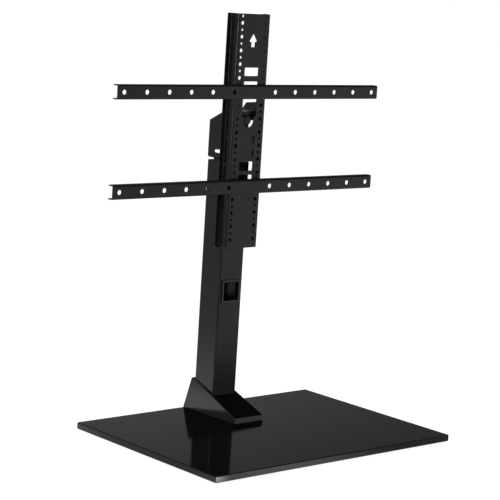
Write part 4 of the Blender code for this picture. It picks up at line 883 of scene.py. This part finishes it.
def seenDirectly(tree):                             # 1 on rays of the camera, of gloss and through glass
    path = addNode(tree, "LightPath")
    found = path.outputs["Is Camera Ray"]
    for kind in ("Is Glossy Ray", "Is Transmission Ray"):
        found = addNode(tree, "Math", {"operation": "MAXIMUM"}, {0: found, 1: path.outputs[kind]})
    return found


def makeWorld():
    world = bpy.data.worlds.new("whiteStudio")
    scene.world = world
    tree = clearTree(world)
    seen = seenDirectly(tree)
    level = addNode(tree, "MapRange", {"To Min": studio["ambient"], "To Max": 1.0}, {"Value": seen})
    sky = addNode(tree, "Background", {"Color": linearColour("ffffff")}, {"Strength": level})
    addNode(tree, "OutputWorld", links={"Surface": sky})


def makeFloor():
    # White paper sweep: it glows to the camera and in reflections, and keeps part of its shade
    material = bpy.data.materials.new("whitePaperFloor")
    tree = clearTree(material)
    seen = seenDirectly(tree)
    paper = addNode(tree, "BsdfDiffuse", {"Color": linearColour(studio["floorColour"])})
    glow = addNode(tree, "Emission", {"Strength": studio["floorGlow"]})
    nothing = addNode(tree, "Emission", {"Strength": 0.0})
    dimmed = addNode(tree, "MixShader", {0: studio["floorShade"]}, {1: nothing, 2: paper})
    bright = addNode(tree, "AddShader", links={0: dimmed, 1: glow})
    both = addNode(tree, "MixShader", links={0: seen, 1: paper, 2: bright})
    addNode(tree, "OutputMaterial", links={"Surface": both})
    mesh = bmesh.new()
    bmesh.ops.create_circle(mesh, cap_ends=True, radius=studio["floorRadius"], segments=96)
    floor = meshToObject("paperFloor", mesh)
    floor.data.materials.append(material)


def makeGlossOnlyGlowShell():
    # A shell lies and stands all round the set, seen only in the gloss; its painted glow, graded by place,
    # paints the stand's reflections, mostly dark
    material = bpy.data.materials.new("glossOnlyPaintedGlow")
    tree = clearTree(material)
    place = addNode(tree, "TexCoord").outputs["Object"]
    height = addNode(tree, "SeparateXYZ", links={0: place}).outputs["Z"]
    farther = addNode(tree, "VectorMath", {"operation": "LENGTH"}, {0: place}).outputs["Value"]
    # Across is below zero towards the front right and above it towards the back left
    across, toCamera = [addNode(tree, "VectorMath", {"operation": "DOT_PRODUCT", 1: direction},
                                {0: place}).outputs["Value"]
                        for direction in ((-0.707, 0.707, 0.0), (-0.707, -0.707, 0.0))]
    facing = addNode(tree, "Math", {"operation": "DIVIDE"}, {0: toCamera, 1: farther})
    by = {"wallTilt": across, "wallLeft": across, "rightNear": farther, "rightFar": farther,
          "rightJoin": farther, "left": farther, "floorJoin": across, "patchGlow": height, "patchFade": height,
          "patchJoin": across, "behindCamera": facing, "beyondPaper": farther}
    glows = {}
    # Ramps that grade the painted glow by place
    for name, (start, first, end, last) in studio["ramps"].items():
        glows[name] = addNode(tree, "MapRange", {"From Min": start, "From Max": end, "To Min": first,
                                                 "To Max": last, "interpolation_type": "SMOOTHSTEP"},
                              {"Value": by[name]})
    fall = addNode(tree, "Math", {"operation": "MULTIPLY", 1: -1 / studio["shellFall"]}, {0: height})
    fading = addNode(tree, "Math", {"operation": "EXPONENT"}, {0: fall})
    wall = addNode(tree, "Math", {"operation": "MULTIPLY_ADD", 1: studio["shellGlow"], 2: studio["shellRest"]},
                   {0: fading})
    for name in ("wallTilt", "wallLeft"):
        wall = addNode(tree, "Math", {"operation": "MULTIPLY"}, {0: wall, 1: glows[name]})
    glows["wall"], glows["flat"] = wall, addNode(tree, "Value").outputs[0]
    glows["flat"].default_value = 1.0
    glows["paintedPatch"] = addNode(tree, "Math", {"operation": "MULTIPLY"},
                            {0: glows["patchGlow"], 1: glows["patchFade"]})
    glows["upright"] = addNode(tree, "Math", {"operation": "GREATER_THAN", 1: 0.01}, {0: height})
    for name, share, first, second in (("wall", "patchJoin", "wall", "paintedPatch"),
                                       ("right", "rightJoin", "rightNear", "rightFar"),
                                       ("floor", "floorJoin", "right", "left"),
                                       ("all", "upright", "floor", "wall"),
                                       ("shade", "beyondPaper", "flat", "behindCamera")):
        glows[name] = addNode(tree, "Mix", {"data_type": "FLOAT"},
                              {0: glows[share], 2: glows[first], 3: glows[second]})
    level = addNode(tree, "Math", {"operation": "MULTIPLY"}, {0: glows["all"], 1: glows["shade"]})
    # Spots of painted glow on the floor: a painted highlight at the board's corner and front, a painted shade
    # at its left
    for x, y, inner, patchGlow, outer in studio["paintedGlowSpots"]:
        off = addNode(tree, "VectorMath", {"operation": "DISTANCE", 1: (x, y, 0)},
                      {0: place}).outputs["Value"]
        paintedPatch = addNode(tree, "MapRange", {"From Min": inner, "From Max": outer, "To Min": patchGlow,
                                          "To Max": 0.0, "interpolation_type": "SMOOTHSTEP"}, {"Value": off})
        level = addNode(tree, "Math", {"operation": "ADD"}, {0: level, 1: paintedPatch})
    glow = addNode(tree, "Emission", links={"Strength": level})
    addNode(tree, "OutputMaterial", links={"Surface": glow})
    foot = studio["shellFoot"]
    rings = [[(x, y, top) for x, y in circleOutline(0, 0, radius, 96)]
             for radius, top in ((studio["shellInner"], foot), (studio["shellRadius"], foot),
                                 (studio["shellRadius"], studio["shellHeight"]))]
    mesh = loftRings(rings)
    bmesh.ops.delete(mesh, geom=[f for f in mesh.faces if len(f.verts) > 4], context="FACES_ONLY")
    glowShell = meshToObject("glossOnlyGlowShell", mesh)
    glowShell.data.materials.append(material)
    glowShell.visible_camera = glowShell.visible_diffuse = glowShell.visible_transmission = glowShell.visible_shadow = False
    glowShell.visible_volume_scatter = False


def makeLights():
    for number, softbox in enumerate(studio["softboxes"], 1):
        x, y, z, aimX, aimY, aimZ, width, height, watts, shown = softbox
        lamp = bpy.data.lights.new(f"softbox{number}", "AREA")
        lamp.shape, lamp.size, lamp.size_y, lamp.energy = "RECTANGLE", width, height, watts
        holder = bpy.data.objects.new(f"softbox{number}", lamp)
        scene.collection.objects.link(holder)
        holder.visible_camera, holder.visible_glossy = False, shown
        aim = Vector((aimX, aimY, aimZ)) - Vector((x, y, z))
        turn = aim.to_track_quat("-Z", "Y").to_matrix().to_4x4()
        holder.matrix_world = Matrix.Translation((x, y, z)) @ turn


view = {"place": (-2.20308, -2.42099, 0.86384), "yaw": 41.45, "pitch": 8.96, "roll": 3.57, "lens": 130.77}


def makeCamera():
    yaw, pitch, roll = (math.radians(view[key]) for key in ("yaw", "pitch", "roll"))
    ahead = Vector((math.sin(yaw) * math.cos(pitch), math.cos(yaw) * math.cos(pitch), -math.sin(pitch)))
    level = Vector((math.cos(yaw), -math.sin(yaw), 0))
    upright = level.cross(ahead)
    right = level * math.cos(roll) + upright * math.sin(roll)
    up = upright * math.cos(roll) - level * math.sin(roll)
    data = bpy.data.cameras.new("photoCamera")
    data.sensor_width, data.lens, data.clip_start, data.clip_end = 36, view["lens"], 0.05, 80
    camera = bpy.data.objects.new("photoCamera", data)
    scene.collection.objects.link(camera)
    turn = Matrix((right, up, -ahead)).transposed().to_4x4()
    camera.matrix_world = Matrix.Translation(view["place"]) @ turn
    scene.camera = camera


scene.view_settings.view_transform = "Standard"
makeWorld()
makeFloor()
makeGlossOnlyGlowShell()
makeLights()
makeCamera()
print("studio set")
